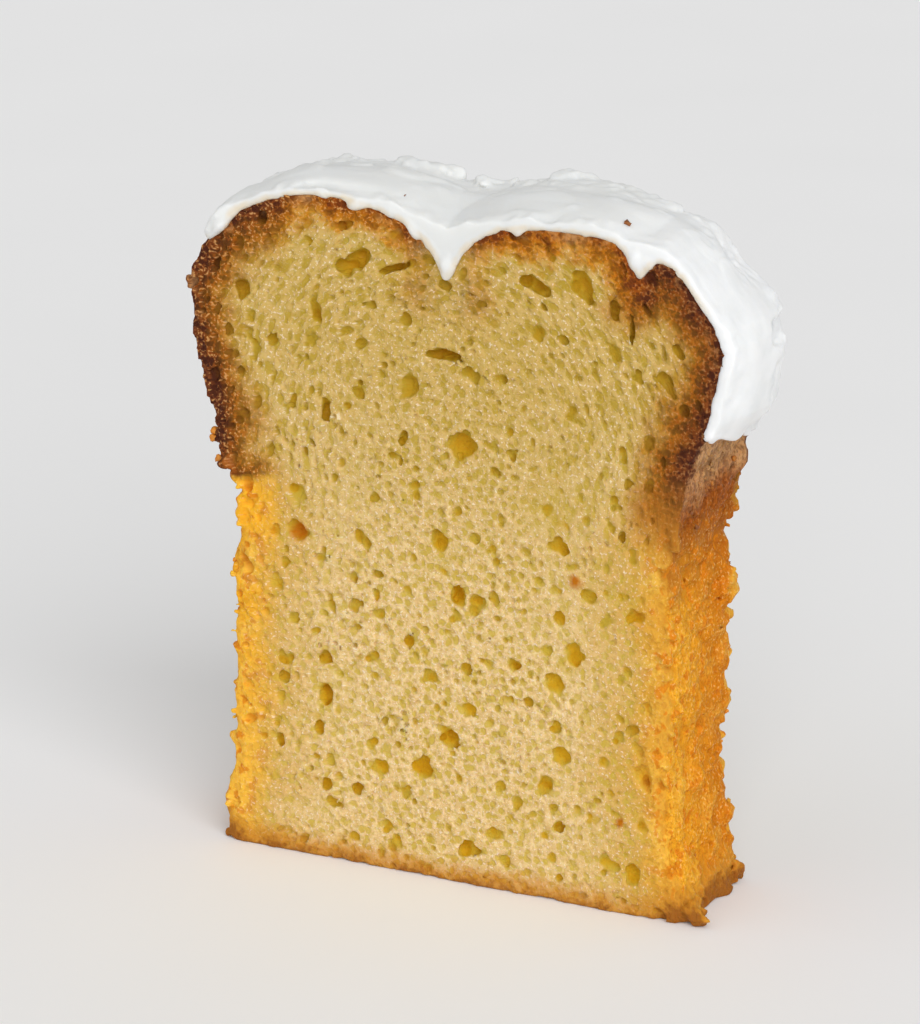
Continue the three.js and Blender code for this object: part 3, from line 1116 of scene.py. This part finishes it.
    # Swells and hollows of the outline: x from the loaf's middle, y, z, half sizes, add or carve
    side_forms: tuple[tuple[float, float, float, float, float, float, Join], ...] = (
        (38.2, 9.4, 50.8, 2.5, 2.8, 4.0, Join.ADD), (37.4, 9.4, 38.0, 2.2, 2.6, 3.6, Join.ADD),
        (37.2, 9.4, 31.0, 2.2, 2.6, 4.4, Join.ADD), (39.4, 9.6, 11.5, 1.8, 2.0, 2.0, Join.ADD),
        (-38.4, -10.6, 59.5, 1.1, 1.4, 3.6, Join.ADD), (-43.8, -11.0, 66.8, 1.7, 2.6, 1.8, Join.CARVE),
        (-41.4, -11.0, 63.4, 1.5, 2.6, 1.6, Join.CARVE), (-41.0, -11.0, 30.2, 1.3, 2.2, 2.8, Join.CARVE),
        (-41.2, -11.0, 21.0, 1.2, 2.2, 1.8, Join.CARVE), (-48.5, -11.0, 91.4, 1.9, 3.4, 4.6, Join.CARVE),
        (40.6, 9.4, 72.6, 1.5, 2.4, 2.8, Join.ADD),
    )

    # Torn bits that stand out of the outline: x from the loaf's middle, y, z, radius
    torn_bits: Rows = (
        (42.4, -10.0, 1.8, 1.6), (43.4, -10.5, 1.4, 1.2), (44.3, -10.8, 1.2, 1.0), (45.2, -11.0, 1.4, 0.75),
        (41.4, 10.4, 1.5, 1.1), (41.8, 9.2, 1.2, 0.8), (-44.2, -10.6, 70.7, 0.8), (-43.8, -10.7, 69.3, 0.8),
        (-41.8, -10.6, 66.4, 0.6), (-48.2, -10.8, 95.9, 0.9),
    )

    # Orange spots in the front cut: x from the loaf's middle, z, radius
    stains: Rows = ((22.2, 54.9, 1.5), (-27.6, 56.1, 2.2), (30.4, 15.6, 1.0))

    def build(self) -> bpy.types.Object:
        """Shapes, simplifies and dresses the cake.

        Returns:
            The piece that stands for the solid.
        """
        self.random = np.random.default_rng(self.seed)
        self.block.fill_from(self.node)
        self.solid = self.block.values.copy()
        self.rim = RimMap(self.node)
        self.roughen()
        self.tear_sides()
        self.open_pores()
        floor = -self.block.axes[2][None, None, :]
        self.block.values = np.maximum(self.block.values, floor).astype(np.float32)
        mesh = self.block.to_mesh("cake", self.triangles, self.back_share)
        self.mark(mesh)
        piece = add_piece("loaf_crumb", mesh, self.finish.build())
        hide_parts("cake")
        return piece

    def roughen(self) -> None:
        """Gives the cuts a crumbly face, and the torn sides and crust their crags."""
        block = self.block
        _, y, z = np.meshgrid(*block.axes, indexing="ij", sparse=True)
        behind = self.thickness / 2 - np.abs(y)
        near_cut = smooth(behind, 2.0, 0.4)
        torn = smooth(z, self.lip_level + 1.5, self.lip_level - 1.5)
        iced = smooth(z, self.crown_level, self.crown_level + 4)
        on_side = 0.16 + 0.26 * torn - 0.1 * iced
        wide = block.noise(self.lump_size, self.random)
        block.values += (on_side * (1 - 0.85 * near_cut) * 0.8) * wide
        block.values += self.wave_height * near_cut * block.noise(self.wave_size, self.random)
        self.grit = block.noise(self.grit_size, self.random)
        beside = (self.grit_on_side + 0.05 * torn) * (1 - near_cut)
        block.values += (self.grit_on_cut * near_cut + beside) * self.grit
        corner = np.exp(-(self.rim.over(block) ** 2 + behind ** 2) / self.corner_size ** 2)
        block.values += self.corner_loss * torn * corner

    def rim_points(self, count: int, low: float, high: float) -> tuple[np.ndarray, np.ndarray]:
        """Draws points on the torn sides or the crust, between two heights.

        Args:
            count: How many.
            low: Lowest height.
            high: Highest height.

        Returns:
            Points and the outward directions there.
        """
        corners, normal, area = facets(self.node.data)
        centre = corners.mean(1)
        usable = (np.abs(normal[:, 1]) < 0.7) & (np.abs(normal[:, 2]) < 0.9) & (self.rim.read(centre) < 1.5)
        usable &= (centre[:, 2] > low) & (centre[:, 2] < high)
        chance = np.where(usable, area, 0)
        chosen = self.random.choice(len(area), count, p=chance / chance.sum())
        first, second = self.random.random((2, count))
        first, second = np.where(first + second > 1, (1 - first, 1 - second), (first, second))
        start = corners[chosen, 0]
        place = (start + first[:, None] * (corners[chosen, 1] - start)
                 + second[:, None] * (corners[chosen, 2] - start))
        return place, normal[chosen]

    def crags(self, kind: CragKind) -> None:
        """Adds or carves many blobs on the torn sides or the crust.

        Args:
            kind: Their number, heights, sizes and joint.
        """
        places, outward = self.rim_points(kind.count, kind.low, kind.high)
        radii = kind.smallest + (kind.largest - kind.smallest) * self.random.random(kind.count) ** 2
        shapes = self.random.uniform(0.7, 1.3, (kind.count, 3))
        for place, out, radius, shape in zip(places, outward, radii, shapes):
            centre = place + out * radius * kind.offset
            self.block.blob(centre, tuple(radius * shape), 0.0, kind.join, self.grit, 0.18, kind.blend)

    def tear_sides(self) -> None:
        """Works the lumps and hollows of the torn sides, and the crust's finer crags and its lower lip."""
        for x, y, z, *half, join in self.side_forms:
            self.block.blob((x + self.middle, y, z), tuple(half), 0.0, join, self.grit, 0.1, 0.6)
        for kind in self.crag_kinds:
            self.crags(kind)
        for x, y, z, radius in self.torn_bits:
            inward = np.array([-np.sign(x), 0.0, 0.0])
            centre = self.block.settle(np.array([x + self.middle, y, z]), inward, 0.4 * radius)
            self.block.blob(tuple(centre), (radius, radius, radius), 0.0, Join.ADD, self.grit, 0.25)

    def grain(self, x: float, z: float) -> tuple[float, float]:
        """The way the crumb was drawn out as it rose.

        Args:
            x: Place across, from the loaf's middle.
            z: Height.

        Returns:
            The tilt in radians, and how strongly holes are drawn out, from 0 to 1.
        """
        up = max(z - self.grain_level, 0.0)
        reach = smooth(math.hypot(x, up), 6.0, 38.0)
        return math.atan2(-x, up + 1e-6), float(reach * (0.3 + 0.7 * smooth(z, *self.grain_rise)))

    def open_pores(self) -> None:
        """Opens the gas holes in both cuts, the largest first."""
        for cut in Cut:
            placed = self.named_holes(cut)
            for kind in self.kinds if cut is Cut.FRONT else self.kinds[:-1]:
                placed = self.scatter(cut, kind, placed)

    def named_holes(self, cut: Cut) -> np.ndarray:
        """Opens the holes that stand out, or for the back cut the same holes laid out the other way.

        Args:
            cut: The cut that they open in.

        Returns:
            Their places and widths, one hole in each row.
        """
        placed = []
        for x, z, width, height, tilt in self.front_holes:
            if cut is Cut.BACK:
                x, z, tilt = -0.9 * x, 0.93 * z + 3, -tilt
            self.hole(cut, x + self.middle, z, width, height, math.radians(tilt), self.named_depth)
            placed.append((x + self.middle, z, (width + height) / 2))
        return np.array(placed)

    def hole(self, cut: Cut, x: float, z: float, width: float, height: float, tilt: float,
             deepness: float = 1.0) -> None:
        """Carves one gas hole, with one or two smaller ones opening off a wide one.

        Args:
            cut: The cut that it opens in.
            x: Place across.
            z: Height.
            width: Size along its tilt.
            height: Size across its tilt.
            tilt: Turn in the plane of the cut, in radians.
            deepness: How much deeper than usual it goes.
        """
        mean = (width + height) / 2
        depth = mean * self.random.uniform(*self.hole_depth) * deepness
        inside = self.random.uniform(*self.hole_inset) * depth
        y = cut.value * (self.thickness / 2 - inside)
        self.block.blob((x, y, z), (width / 2, depth, height / 2), tilt, Join.CARVE, self.grit, 0.2)
        if mean > self.wide_hole:
            for _ in range(int(self.random.integers(1, 4))):
                turn = self.random.uniform(0, 2 * math.pi)
                size = mean * self.random.uniform(0.18, 0.32)
                off = self.random.uniform(0.3, 0.5)
                along, over = off * width * math.cos(turn), off * height * math.sin(turn)
                aside = along * math.cos(tilt) - over * math.sin(tilt)
                up = along * math.sin(tilt) + over * math.cos(tilt)
                side = (x + aside, y - cut.value * 0.4 * depth, z + up)
                self.block.blob(side, (size, size, size), 0.0, Join.CARVE, self.grit, 0.12)

    def scatter(self, cut: Cut, kind: PoreKind, placed: np.ndarray) -> np.ndarray:
        """Opens holes of one size class wherever there is room for them.

        Args:
            cut: The cut that they open in.
            kind: The size class.
            placed: Holes that are there already.

        Returns:
            All holes so far.
        """
        low, high = self.block.low, self.block.high
        tries = int(kind.density * (high[0] - low[0]) * (high[2] - low[2]) * 1.3)
        spots = np.column_stack([
            self.random.uniform(low[0], high[0], tries),
            np.full(tries, cut.value * (self.thickness / 2 - 1.0)),
            self.random.uniform(low[2], high[2], tries),
        ])
        spots = spots[self.block.read(spots, self.solid) < -0.6]
        made = np.zeros((len(placed) + len(spots), 3))
        made[:len(placed)] = placed
        count = len(placed)
        for x, _, z in spots:
            width = kind.smallest * (kind.largest / kind.smallest) ** self.random.random()
            tilt, drawn = self.grain(x - self.middle, z)
            stretch = 1 + self.random.uniform(0.0, 0.35) + drawn * self.random.uniform(0.1, 1.3)
            tilt += self.random.normal(0, 0.3) if drawn > 0.3 else self.random.uniform(0, math.pi)
            others = made[:count]
            gap = np.hypot(others[:, 0] - x, others[:, 1] - z) - kind.apart * (others[:, 2] + width)
            if gap.min() < 0:
                continue
            self.hole(cut, x, z, width * math.sqrt(stretch), width / math.sqrt(stretch), tilt)
            made[count] = (x, z, width)
            count += 1
        return made[:count]

    def mark(self, mesh: bpy.types.Mesh) -> None:
        """Keeps at each point how deep it lies under the rim, in a hole and behind the cut.

        Args:
            mesh: The finished mesh.
        """
        points, _ = mesh_arrays(mesh)
        rim = self.rim.read(points)
        proud = (self.block.read(points, self.solid) > 0) & (rim < 3)
        cut = self.thickness / 2 - np.abs(points[:, 1])
        inward = np.where(proud, 0, rim)
        x, y, z = points.T
        x = x - self.middle
        deep = y + self.thickness / 2
        around = np.where((x < 0) & (self.thickness - deep > rim), -1.0, 1.0)
        up = np.maximum(z - self.grain_level, 0)
        side = np.where(x < 0, -1, 1)
        turn = np.arctan2(np.abs(x), up + 1e-3)
        along = side * (turn * self.grain_reach + np.maximum(self.grain_level - z, 0)) / self.grain_stretch
        reach = smooth(np.hypot(x, up), 8.0, 26.0)
        none = np.zeros(len(x))
        marks = {
            "rim": rim,
            "recess": np.clip(np.minimum(cut, inward), 0, 5),
            "cut": cut,
            "drawn": reach * (0.2 + 0.8 * smooth(z, *self.grain_rise)),
            "baked": self.baked(x, z),
            "stain": self.stained(x, y, z),
            "flat": np.column_stack([x + around * deep, z, none]),
            "grain": np.column_stack([np.hypot(x, up) + deep, along, none]),
        }
        for name, values in marks.items():
            set_attribute(mesh, name, values)

    def baked(self, x: np.ndarray, z: np.ndarray) -> np.ndarray:
        """How browned the crust is; the walls of the deep crack opened late and stayed pale."""
        pale = np.exp(-((x + 0.4) / 6.0) ** 2) * smooth(z, 108.5, 104.5)
        return 1 - 0.92 * pale

    def stained(self, x: np.ndarray, y: np.ndarray, z: np.ndarray) -> np.ndarray:
        """Where the front cut has its orange spots.

        Args:
            x: Places across, from the loaf's middle.
            y: Places along the loaf.
            z: Heights.

        Returns:
            Shares from 0 to 1.
        """
        total = np.zeros(len(x))
        for spot_x, spot_z, radius in self.stains:
            away = np.sqrt((x - spot_x) ** 2 + (z - spot_z) ** 2 + (0.5 * (y + self.thickness / 2)) ** 2)
            total = np.maximum(total, smooth(away, radius, 0.4 * radius))
        return total


@dataclass
class Icing:
    """The poured icing: the solid's layer laid onto the crust, with spatula marks, bits and a lumpy edge."""

    node: bpy.types.Object
    cake: Cake
    finish: IcingFinish = IcingFinish()
    seed: int = 5
    triangles: int = 90_000
    swell: float = 0.3
    block: VoxelBlock = field(default_factory=VoxelBlock)
    cut_spare: float = 0.05

    edge_thickness: float = 1.5
    edge_slope: float = 0.36
    edge_round: float = 2.0
    back_spare: float = 3.0
    ragged_sizes: Span = (4.0, 1.2)
    ragged_height: float = 0.2
    top_levels: Span = (103.0, 109.0)
    bit_level: float = 106.0
    dribbles: int = 16
    lobes: int = 70

    # Waves of the surface: size along X, Y and Z, and height
    waves: tuple[tuple[Point, float], ...] = (((8.0, 6.0, 8.0), 0.24), ((8.0, 3.0, 4.0), 0.12))

    # Ledges and chips of the top: size along X, Y and Z, level where they break, height, where they start
    # along Y and where they are full
    ledges: tuple[tuple[Point, float, float, float, float], ...] = (
        ((5.5, 3.4, 5.5), 0.3, 0.3, -12.0, 0.0), ((2.2, 1.6, 2.2), 0.9, 0.2, -9.0, 6.0))

    # Cracks that stay filled at the cuts: x from the loaf's middle, width, heights of their start and end
    cracks: Rows = (
        (0.0, 7.0, 113.0, 108.0), (32.5, 2.6, 112.0, 109.5))

    # Broken bits of the top: least y, how many, the largest half size
    bits: tuple[tuple[float, int, float], ...] = ((6.0, 60, 1.5), (-9.0, 26, 0.9))

    # Forms on the layer: x from the loaf's middle, y, z, half sizes, tilt in degrees, width of a soft joint
    forms: Rows = (
        (-26.8, 8.2, 111.0, 6.0, 4.0, 2.2, 8, 2.0), (-16.4, 8.8, 112.4, 4.5, 3.0, 2.2, -6, 1.2),
        (-12.6, 9.0, 112.4, 3.0, 3.0, 1.8, -20, 1.2), (13.6, 7.6, 113.0, 6.5, 5.0, 1.9, -2, 2.4),
        (-0.4, 8.6, 110.7, 10.0, 4.5, 1.8, 4, 2.2), (21.6, 8.2, 111.5, 5.0, 4.5, 1.6, -8, 2.0),
        (26.0, 9.0, 110.7, 3.2, 3.2, 1.5, -20, 1.4), (-41.6, -3.2, 107.2, 3.6, 8.0, 1.5, 46, 2.0),
        (-36.0, 7.4, 109.9, 8.0, 4.5, 2.0, 17, 2.0), (-41.0, 8.6, 108.5, 1.6, 1.8, 1.0, 20, 0.6),
        (-40.8, -7.5, 105.6, 2.2, 4.6, 0.7, 46, 1.2),
        (45.0, 9.0, 99.0, 1.8, 2.4, 1.7, -30, 1.0), (44.8, 8.6, 90.4, 1.8, 2.6, 2.8, 0, 1.2),
        (-0.4, -11.3, 103.5, 1.2, 1.0, 2.0, 0, 0.5), (-6.4, -11.3, 108.8, 2.0, 0.8, 0.8, -59, 0.4),
        (32.0, -11.2, 108.4, 1.0, 0.9, 1.5, 0, 0.5), (46.1, -11.2, 98.4, 0.6, 0.5, 0.6, 0, 0.2),
        (37.4, -11.2, 109.0, 0.7, 0.5, 0.5, 20, 0.2), (45.8, -11.0, 86.4, 0.8, 0.6, 0.9, 0, 0.3),
    )

    # Places where the layer falls short of an even drape, listed in the same way
    hollows: Rows = (
        (42.8, 10.5, 105.7, 6.0, 7.0, 2.6, -39, 1.2), (49.0, 9.0, 94.9, 3.2, 7.0, 2.4, 0, 1.0),
        (51.0, 10.5, 86.0, 3.4, 7.0, 6.0, 0, 1.5), (46.8, 9.0, 78.2, 4.4, 8.0, 3.2, 38, 1.0),
    )

    # Where the layer ends early, down to the crust
    trims: Rows = ((-45.3, -12.0, 101.5, 2.4, 4.6, 2.9, 30, 0.6),)

    # Tongues that end the layer on the left side: y, height of the tip, half width, length
    tongues: Rows = (
        (9.6, 92.6, 1.6, 7.0), (6.8, 95.4, 1.2, 4.5), (3.9, 93.8, 1.6, 7.0), (0.6, 97.0, 1.3, 5.0),
        (-2.2, 95.8, 1.5, 7.0), (-5.4, 99.2, 1.3, 5.0),
    )

    def build(self) -> bpy.types.Object:
        """Shapes, simplifies and dresses the icing.

        Returns:
            The piece that stands for the solid.
        """
        self.random = np.random.default_rng(self.seed)
        self.half = self.cake.thickness / 2
        self.block.fill_from(self.node)
        self.layer = self.block.values.copy()
        self.block.values -= self.swell
        self.work_surface()
        self.seat()
        self.thin_edges()
        self.grit = self.block.noise(self.cake.grit_size, self.random)
        self.add_forms()
        self.hang_tongues()
        self.fray_cuts()
        self.lobe_sides()
        self.add_bits()
        mesh = self.block.to_mesh("icing", self.triangles)
        points, _ = mesh_arrays(mesh)
        set_attribute(mesh, "over", np.maximum(self.block.read(points, self.cake.solid), 0))
        piece = add_piece("poured_icing", mesh, self.finish.build())
        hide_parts("icing")
        return piece

    def work_surface(self) -> None:
        """Gives the icing broad lumps, soft spatula marks and, towards the back, broken ledges."""
        _, y, z = np.meshgrid(*self.block.axes, indexing="ij", sparse=True)
        for cell, height in self.waves:
            self.block.values += height * self.block.noise(cell, self.random)
        on_top = smooth(z, *self.top_levels)
        for cell, level, height, start, end in self.ledges:
            steps = np.tanh(5 * (self.block.noise(cell, self.random) - level))
            self.block.values -= (height * smooth(y, start, end) * on_top).astype(np.float32) * steps

    def seat(self) -> None:
        """Fills the gap between the layer and the crust up to both cuts."""
        y = np.abs(self.block.axes[1])[None, :, None]
        skin = np.maximum(np.abs(self.cake.solid - 0.2) - 0.5, self.layer - 0.5)
        self.skin = np.maximum(skin, y - self.half - self.cut_spare).astype(np.float32)
        self.block.values = soft_min(self.block.values, self.skin, 0.7)

    def thin_edges(self) -> None:
        """Thins the layer to a ragged edge at the cuts, but not where it fills the cracks."""
        x, y, z = np.meshgrid(*self.block.axes, indexing="ij", sparse=True)
        behind = np.minimum(self.half + y, self.half - y + self.back_spare)
        crack = sum(np.exp(-((x - self.cake.middle - place) / width) ** 2) * smooth(z, start, full)
                    for place, width, start, full in self.cracks)
        ragged = sum(self.ragged_height * self.block.noise(cell, self.random) for cell in self.ragged_sizes)
        ragged = ragged * smooth(behind, 4.0, 0.5)
        allowed = self.edge_thickness + self.edge_slope * behind + 4 * crack + ragged
        over = (self.cake.solid - allowed).astype(np.float32)
        first, *_, last = np.flatnonzero(np.abs(self.block.axes[1]) < self.half - 1.5)
        layer = self.block.values
        layer[:, :first] = layer[:, first:first + 1]
        layer[:, last:] = layer[:, last:last + 1]
        thinned = -soft_min(-layer, -over, self.edge_round)
        self.block.values = np.maximum(thinned, np.abs(y) - self.half - self.cut_spare).astype(np.float32)

    def add_forms(self) -> None:
        """Adds mounds, drips and the drop in the crack, takes hollows out down to a skin, and trims."""
        self.add_blobs(self.forms, Join.ADD)
        self.add_blobs(self.hollows, Join.CARVE)
        self.block.values = soft_min(self.block.values, self.skin, 0.5)
        self.add_blobs(self.trims, Join.CARVE)

    def add_blobs(self, listed: Rows, join: Join) -> None:
        """Adds or carves listed blobs.

        Args:
            listed: For each its place from the loaf's middle, half sizes, tilt in degrees and soft joint.
            join: Whether they add or carve.
        """
        for x, y, z, *half, tilt, blend in listed:
            centre = (x + self.cake.middle, y, z)
            self.block.blob(centre, tuple(half), math.radians(tilt), join, self.grit, 0.06, blend)

    def hang_tongues(self) -> None:
        """Ends the layer on the left side in tongues that lie on the crust."""
        inward = np.array([1.0, 0.0, 0.0])
        for y, tip, half, length in self.tongues:
            places = [self.cake.block.settle(np.array([self.block.low[0], y, tip + up]), inward, 0.1, 20.0)
                      for up in (0.0, length)]
            lean = math.atan2(places[1][0] - places[0][0], length)
            centre = (places[0] + places[1]) / 2
            self.block.blob(tuple(centre), (0.75, half, length / 2), -lean, Join.ADD, self.grit, 0.12, 1.2)

    def fray_cuts(self) -> None:
        """Lets small dribbles hang over the crust's edge at both cuts."""
        for cut in Cut:
            row = int(np.argmin(np.abs(self.block.axes[1] - cut.value * (self.half - 0.3))))
            contact = (np.abs(self.cake.solid[:, row]) < 0.3) & (np.abs(self.layer[:, row]) < 0.8)
            for i, k in self.random.choice(np.argwhere(contact), self.dribbles):
                x, z = self.block.axes[0][i], self.block.axes[2][k]
                half = np.array([1.0, 0.4, 0.6]) * (0.25 + 1.1 * self.random.random() ** 3)
                tilt = self.random.uniform(0, math.pi)
                centre = (x, cut.value * (self.half - 0.1), z + self.random.normal(0, 0.2))
                self.block.blob(centre, tuple(half), tilt, Join.ADD, self.grit, 0.2, 0.6)

    def lobe_sides(self) -> None:
        """Ends the layer on the sides in small lobes."""
        inside = np.abs(self.block.axes[1])[None, :, None] < self.half - 1
        border = (np.abs(self.cake.solid - 0.6) < 0.2) & (np.abs(self.layer) < 0.35) & inside
        for spot in self.random.choice(np.argwhere(border), self.lobes):
            centre = tuple(axis[n] for axis, n in zip(self.block.axes, spot))
            half = np.array([0.8, 1.3, 1.2]) * self.random.uniform(0.5, 1.4)
            self.block.blob(centre, tuple(half), 0.0, Join.ADD, self.grit, 0.2, 0.6)

    def add_bits(self) -> None:
        """Adds broken bits, most of them along the back edge of the top."""
        corners, normal, _ = facets(self.node.data)
        centre = corners.mean(1)
        top = (normal[:, 2] > 0.75) & (centre[:, 2] > self.bit_level)
        for least_y, count, largest in self.bits:
            usable = np.flatnonzero(top & (centre[:, 1] > least_y))
            for index in self.random.choice(usable, count):
                x, y, _ = centre[index] + self.random.normal(0, 0.6, 3)
                y = min(y, 9.8)
                half = self.random.uniform(0.5, largest, 3) * (1.3, 1.0, 0.6)
                slope = math.atan2(-normal[index, 0], normal[index, 2])
                spot = (x, y, self.block.top_at(x, y) - 0.2)
                self.block.blob(spot, tuple(half), slope, Join.ADD, self.grit, 0.15, 0.5)


@dataclass
class LooseCrumbs:
    """Crumbs that cling to the sides and the icing, all in one mesh."""

    cake: Cake
    icing: Icing
    finish: LooseCrumbFinish = LooseCrumbFinish()
    seed: int = 23
    sizes: Span = (0.2, 0.45)

    # Crumbs on the torn sides and on the crust: how many, lowest and highest place, tone
    clinging: tuple[tuple[int, float, float, float], ...] = ((22, 0.8, 64.0, 0.1), (18, 64.0, 76.0, 0.8))

    # Crumbs that stand out: x from the loaf's middle, y, z or None for the icing's top, size, tone
    picked: tuple[tuple[float, float, float | None, float, float], ...] = (
        (28.9, -7.9, None, 0.75, 0.8), (-9.6, -8.0, None, 0.24, 1.3),
        (-47.0, -10.6, 70.8, 0.7, 0.25), (-47.0, -10.9, 69.6, 0.65, 0.35), (-47.0, -10.9, 66.3, 0.6, 0.4),
        (-47.0, -10.6, 67.7, 0.45, 0.6), (-47.0, -10.2, 72.5, 0.4, 0.8),
    )

    def build(self) -> bpy.types.Object:
        """Places and shapes every crumb.

        Returns:
            The piece.
        """
        self.random = np.random.default_rng(self.seed)
        pattern = bmesh.new()
        bmesh.ops.create_icosphere(pattern, subdivisions=2, radius=1.0)
        ball = np.array([tuple(v.co) for v in pattern.verts])
        faces = np.array([[v.index for v in f.verts] for f in pattern.faces])
        pattern.free()
        points, polygons, tones = [], [], []
        for place, size, tone in self.spots():
            polygons.append(faces + len(ball) * len(points))
            points.append(place + size * self.lump(ball))
            tones.append(np.full(len(ball), tone))
        mesh = bpy.data.meshes.new("crumbs")
        mesh.from_pydata(np.concatenate(points) * MM, [], np.concatenate(polygons))
        mesh.shade_smooth()
        set_attribute(mesh, "tone", np.concatenate(tones))
        piece = add_piece("loose_crumbs", mesh, self.finish.build())
        return piece

    def spots(self) -> list[tuple[np.ndarray, float, float]]:
        """Lists where the crumbs cling.

        Returns:
            Place, size and tone of each.
        """
        made = []
        for x, y, z, size, tone in self.picked:
            x = x + self.cake.middle
            if z is None:
                made.append((np.array([x, y, self.icing.block.top_at(x, y)]), size, tone))
            else:
                inward = np.array([-np.sign(x), 0.0, 0.0])
                made.append((self.cake.block.settle(np.array([x, y, z]), inward, 0.3 * size), size, tone))
        for count, low, high, tone in self.clinging:
            places, outward = self.cake.rim_points(count, low, high)
            for place, out in zip(places, outward):
                size = self.random.uniform(*self.sizes)
                spot = self.cake.block.settle(place + out * 2.5, -out, 0.25 * size)
                made.append((spot, size, tone + self.random.normal(0, 0.2)))
        return made

    def lump(self, ball: np.ndarray) -> np.ndarray:
        """Makes one uneven crumb from a ball of size 1.

        Args:
            ball: The ball's points.

        Returns:
            The crumb's points.
        """
        ways = self.random.normal(0, 1, (6, 3))
        ways /= np.linalg.norm(ways, axis=1)[:, None]
        swell = 1 + 0.14 * np.sin(5 * ball @ ways.T + self.random.uniform(0, 6, 6)).sum(1)
        turn = np.linalg.qr(self.random.normal(0, 1, (3, 3)))[0]
        return (ball * swell[:, None] * self.random.uniform(0.7, 1.2, 3)) @ turn


@dataclass
class Studio:
    """Pale floor, soft light and the camera of the photograph's view."""

    target: Point = (-1.06 * MM, 0.0, 54.6 * MM)
    azimuth: float = 26.7
    elevation: float = 18.0
    distance: float = 0.735
    focal_pixels: float = 4539.0
    image: tuple[int, int] = (920, 1024)
    target_pixel: tuple[float, float] = (482.0, 544.0)
    sensor: float = 36.0
    floor_size: float = 6.0
    room_strength: float = 0.48

    # Lamps: name, the way towards it, strength, how wide it looks in degrees
    lamps: tuple[tuple[str, Point, float, float], ...] = (
        ("key", (0.36, -0.4, 0.34), 1.95, 50.0), ("fill", (-0.5, -0.4, 0.3), 0.3, 70.0))

    def build(self) -> None:
        """Makes floor, light and camera."""
        self.make_floor()
        self.make_lights()
        self.make_camera()

    def make_floor(self) -> None:
        """Lays a wide floor under the slice."""
        half = self.floor_size / 2
        mesh = bpy.data.meshes.new("floor")
        corners = [(x * half, y * half, 0.0) for x, y in ((-1, -1), (1, -1), (1, 1), (-1, 1))]
        mesh.from_pydata(corners, [], [(0, 1, 2, 3)])
        mesh.materials.append(FloorFinish().build())
        floor = bpy.data.objects.new("floor", mesh)
        bpy.context.scene.collection.objects.link(floor)

    def make_lights(self) -> None:
        """Sets a bright room, a broad soft key from the right and a weak fill from the left."""
        scene = bpy.context.scene
        scene.view_settings.view_transform = "Standard"
        world = bpy.data.worlds.new("room")
        scene.world = world
        world.use_nodes = True
        background = world.node_tree.nodes["Background"]
        background.inputs["Color"].default_value = (1.0, 1.0, 1.0, 1.0)
        background.inputs["Strength"].default_value = self.room_strength
        for lamp in self.lamps:
            self.add_lamp(*lamp)

    def add_lamp(self, name: str, way: Point, strength: float, spread: float) -> None:
        """Adds one broad lamp that shines from far away.

        Args:
            name: The lamp's name.
            way: The way towards it from the slice.
            strength: Its strength.
            spread: How wide it looks from the slice, in degrees.
        """
        lamp = bpy.data.lights.new(name, "SUN")
        lamp.energy = strength
        lamp.angle = math.radians(spread)
        holder = bpy.data.objects.new(name, lamp)
        holder.location = Vector(way)
        holder.rotation_euler = (-Vector(way)).to_track_quat("-Z", "Y").to_euler()
        bpy.context.scene.collection.objects.link(holder)

    def make_camera(self) -> None:
        """Sets the camera that was fitted to the photograph's outline."""
        width, height = self.image
        across, up = math.radians(self.azimuth), math.radians(self.elevation)
        back = Vector((math.sin(across) * math.cos(up), -math.cos(across) * math.cos(up), math.sin(up)))
        data = bpy.data.cameras.new("camera")
        data.sensor_width = self.sensor
        data.lens = self.focal_pixels / max(width, height) * self.sensor
        data.shift_x = (width / 2 - self.target_pixel[0]) / max(width, height)
        data.shift_y = (self.target_pixel[1] - height / 2) / max(width, height)
        camera = bpy.data.objects.new("camera", data)
        camera.location = Vector(self.target) + back * self.distance
        camera.rotation_euler = (-back).to_track_quat("-Z", "Y").to_euler()
        bpy.context.scene.collection.objects.link(camera)
        bpy.context.scene.camera = camera


def report(piece: bpy.types.Object) -> None:
    """Logs a piece's name and number of triangles."""
    LOG.info("%s: %d triangles", piece.name, len(piece.data.polygons))


def main() -> None:
    """Builds the sub-assemblies in order and reports each piece."""
    logging.basicConfig(level=logging.INFO, format="%(message)s")
    Studio().build()
    cake = Cake(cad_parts["cake"])
    report(cake.build())
    icing = Icing(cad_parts["icing"], cake)
    report(icing.build())
    report(LooseCrumbs(cake, icing).build())


if __name__ == "__main__":
    main()
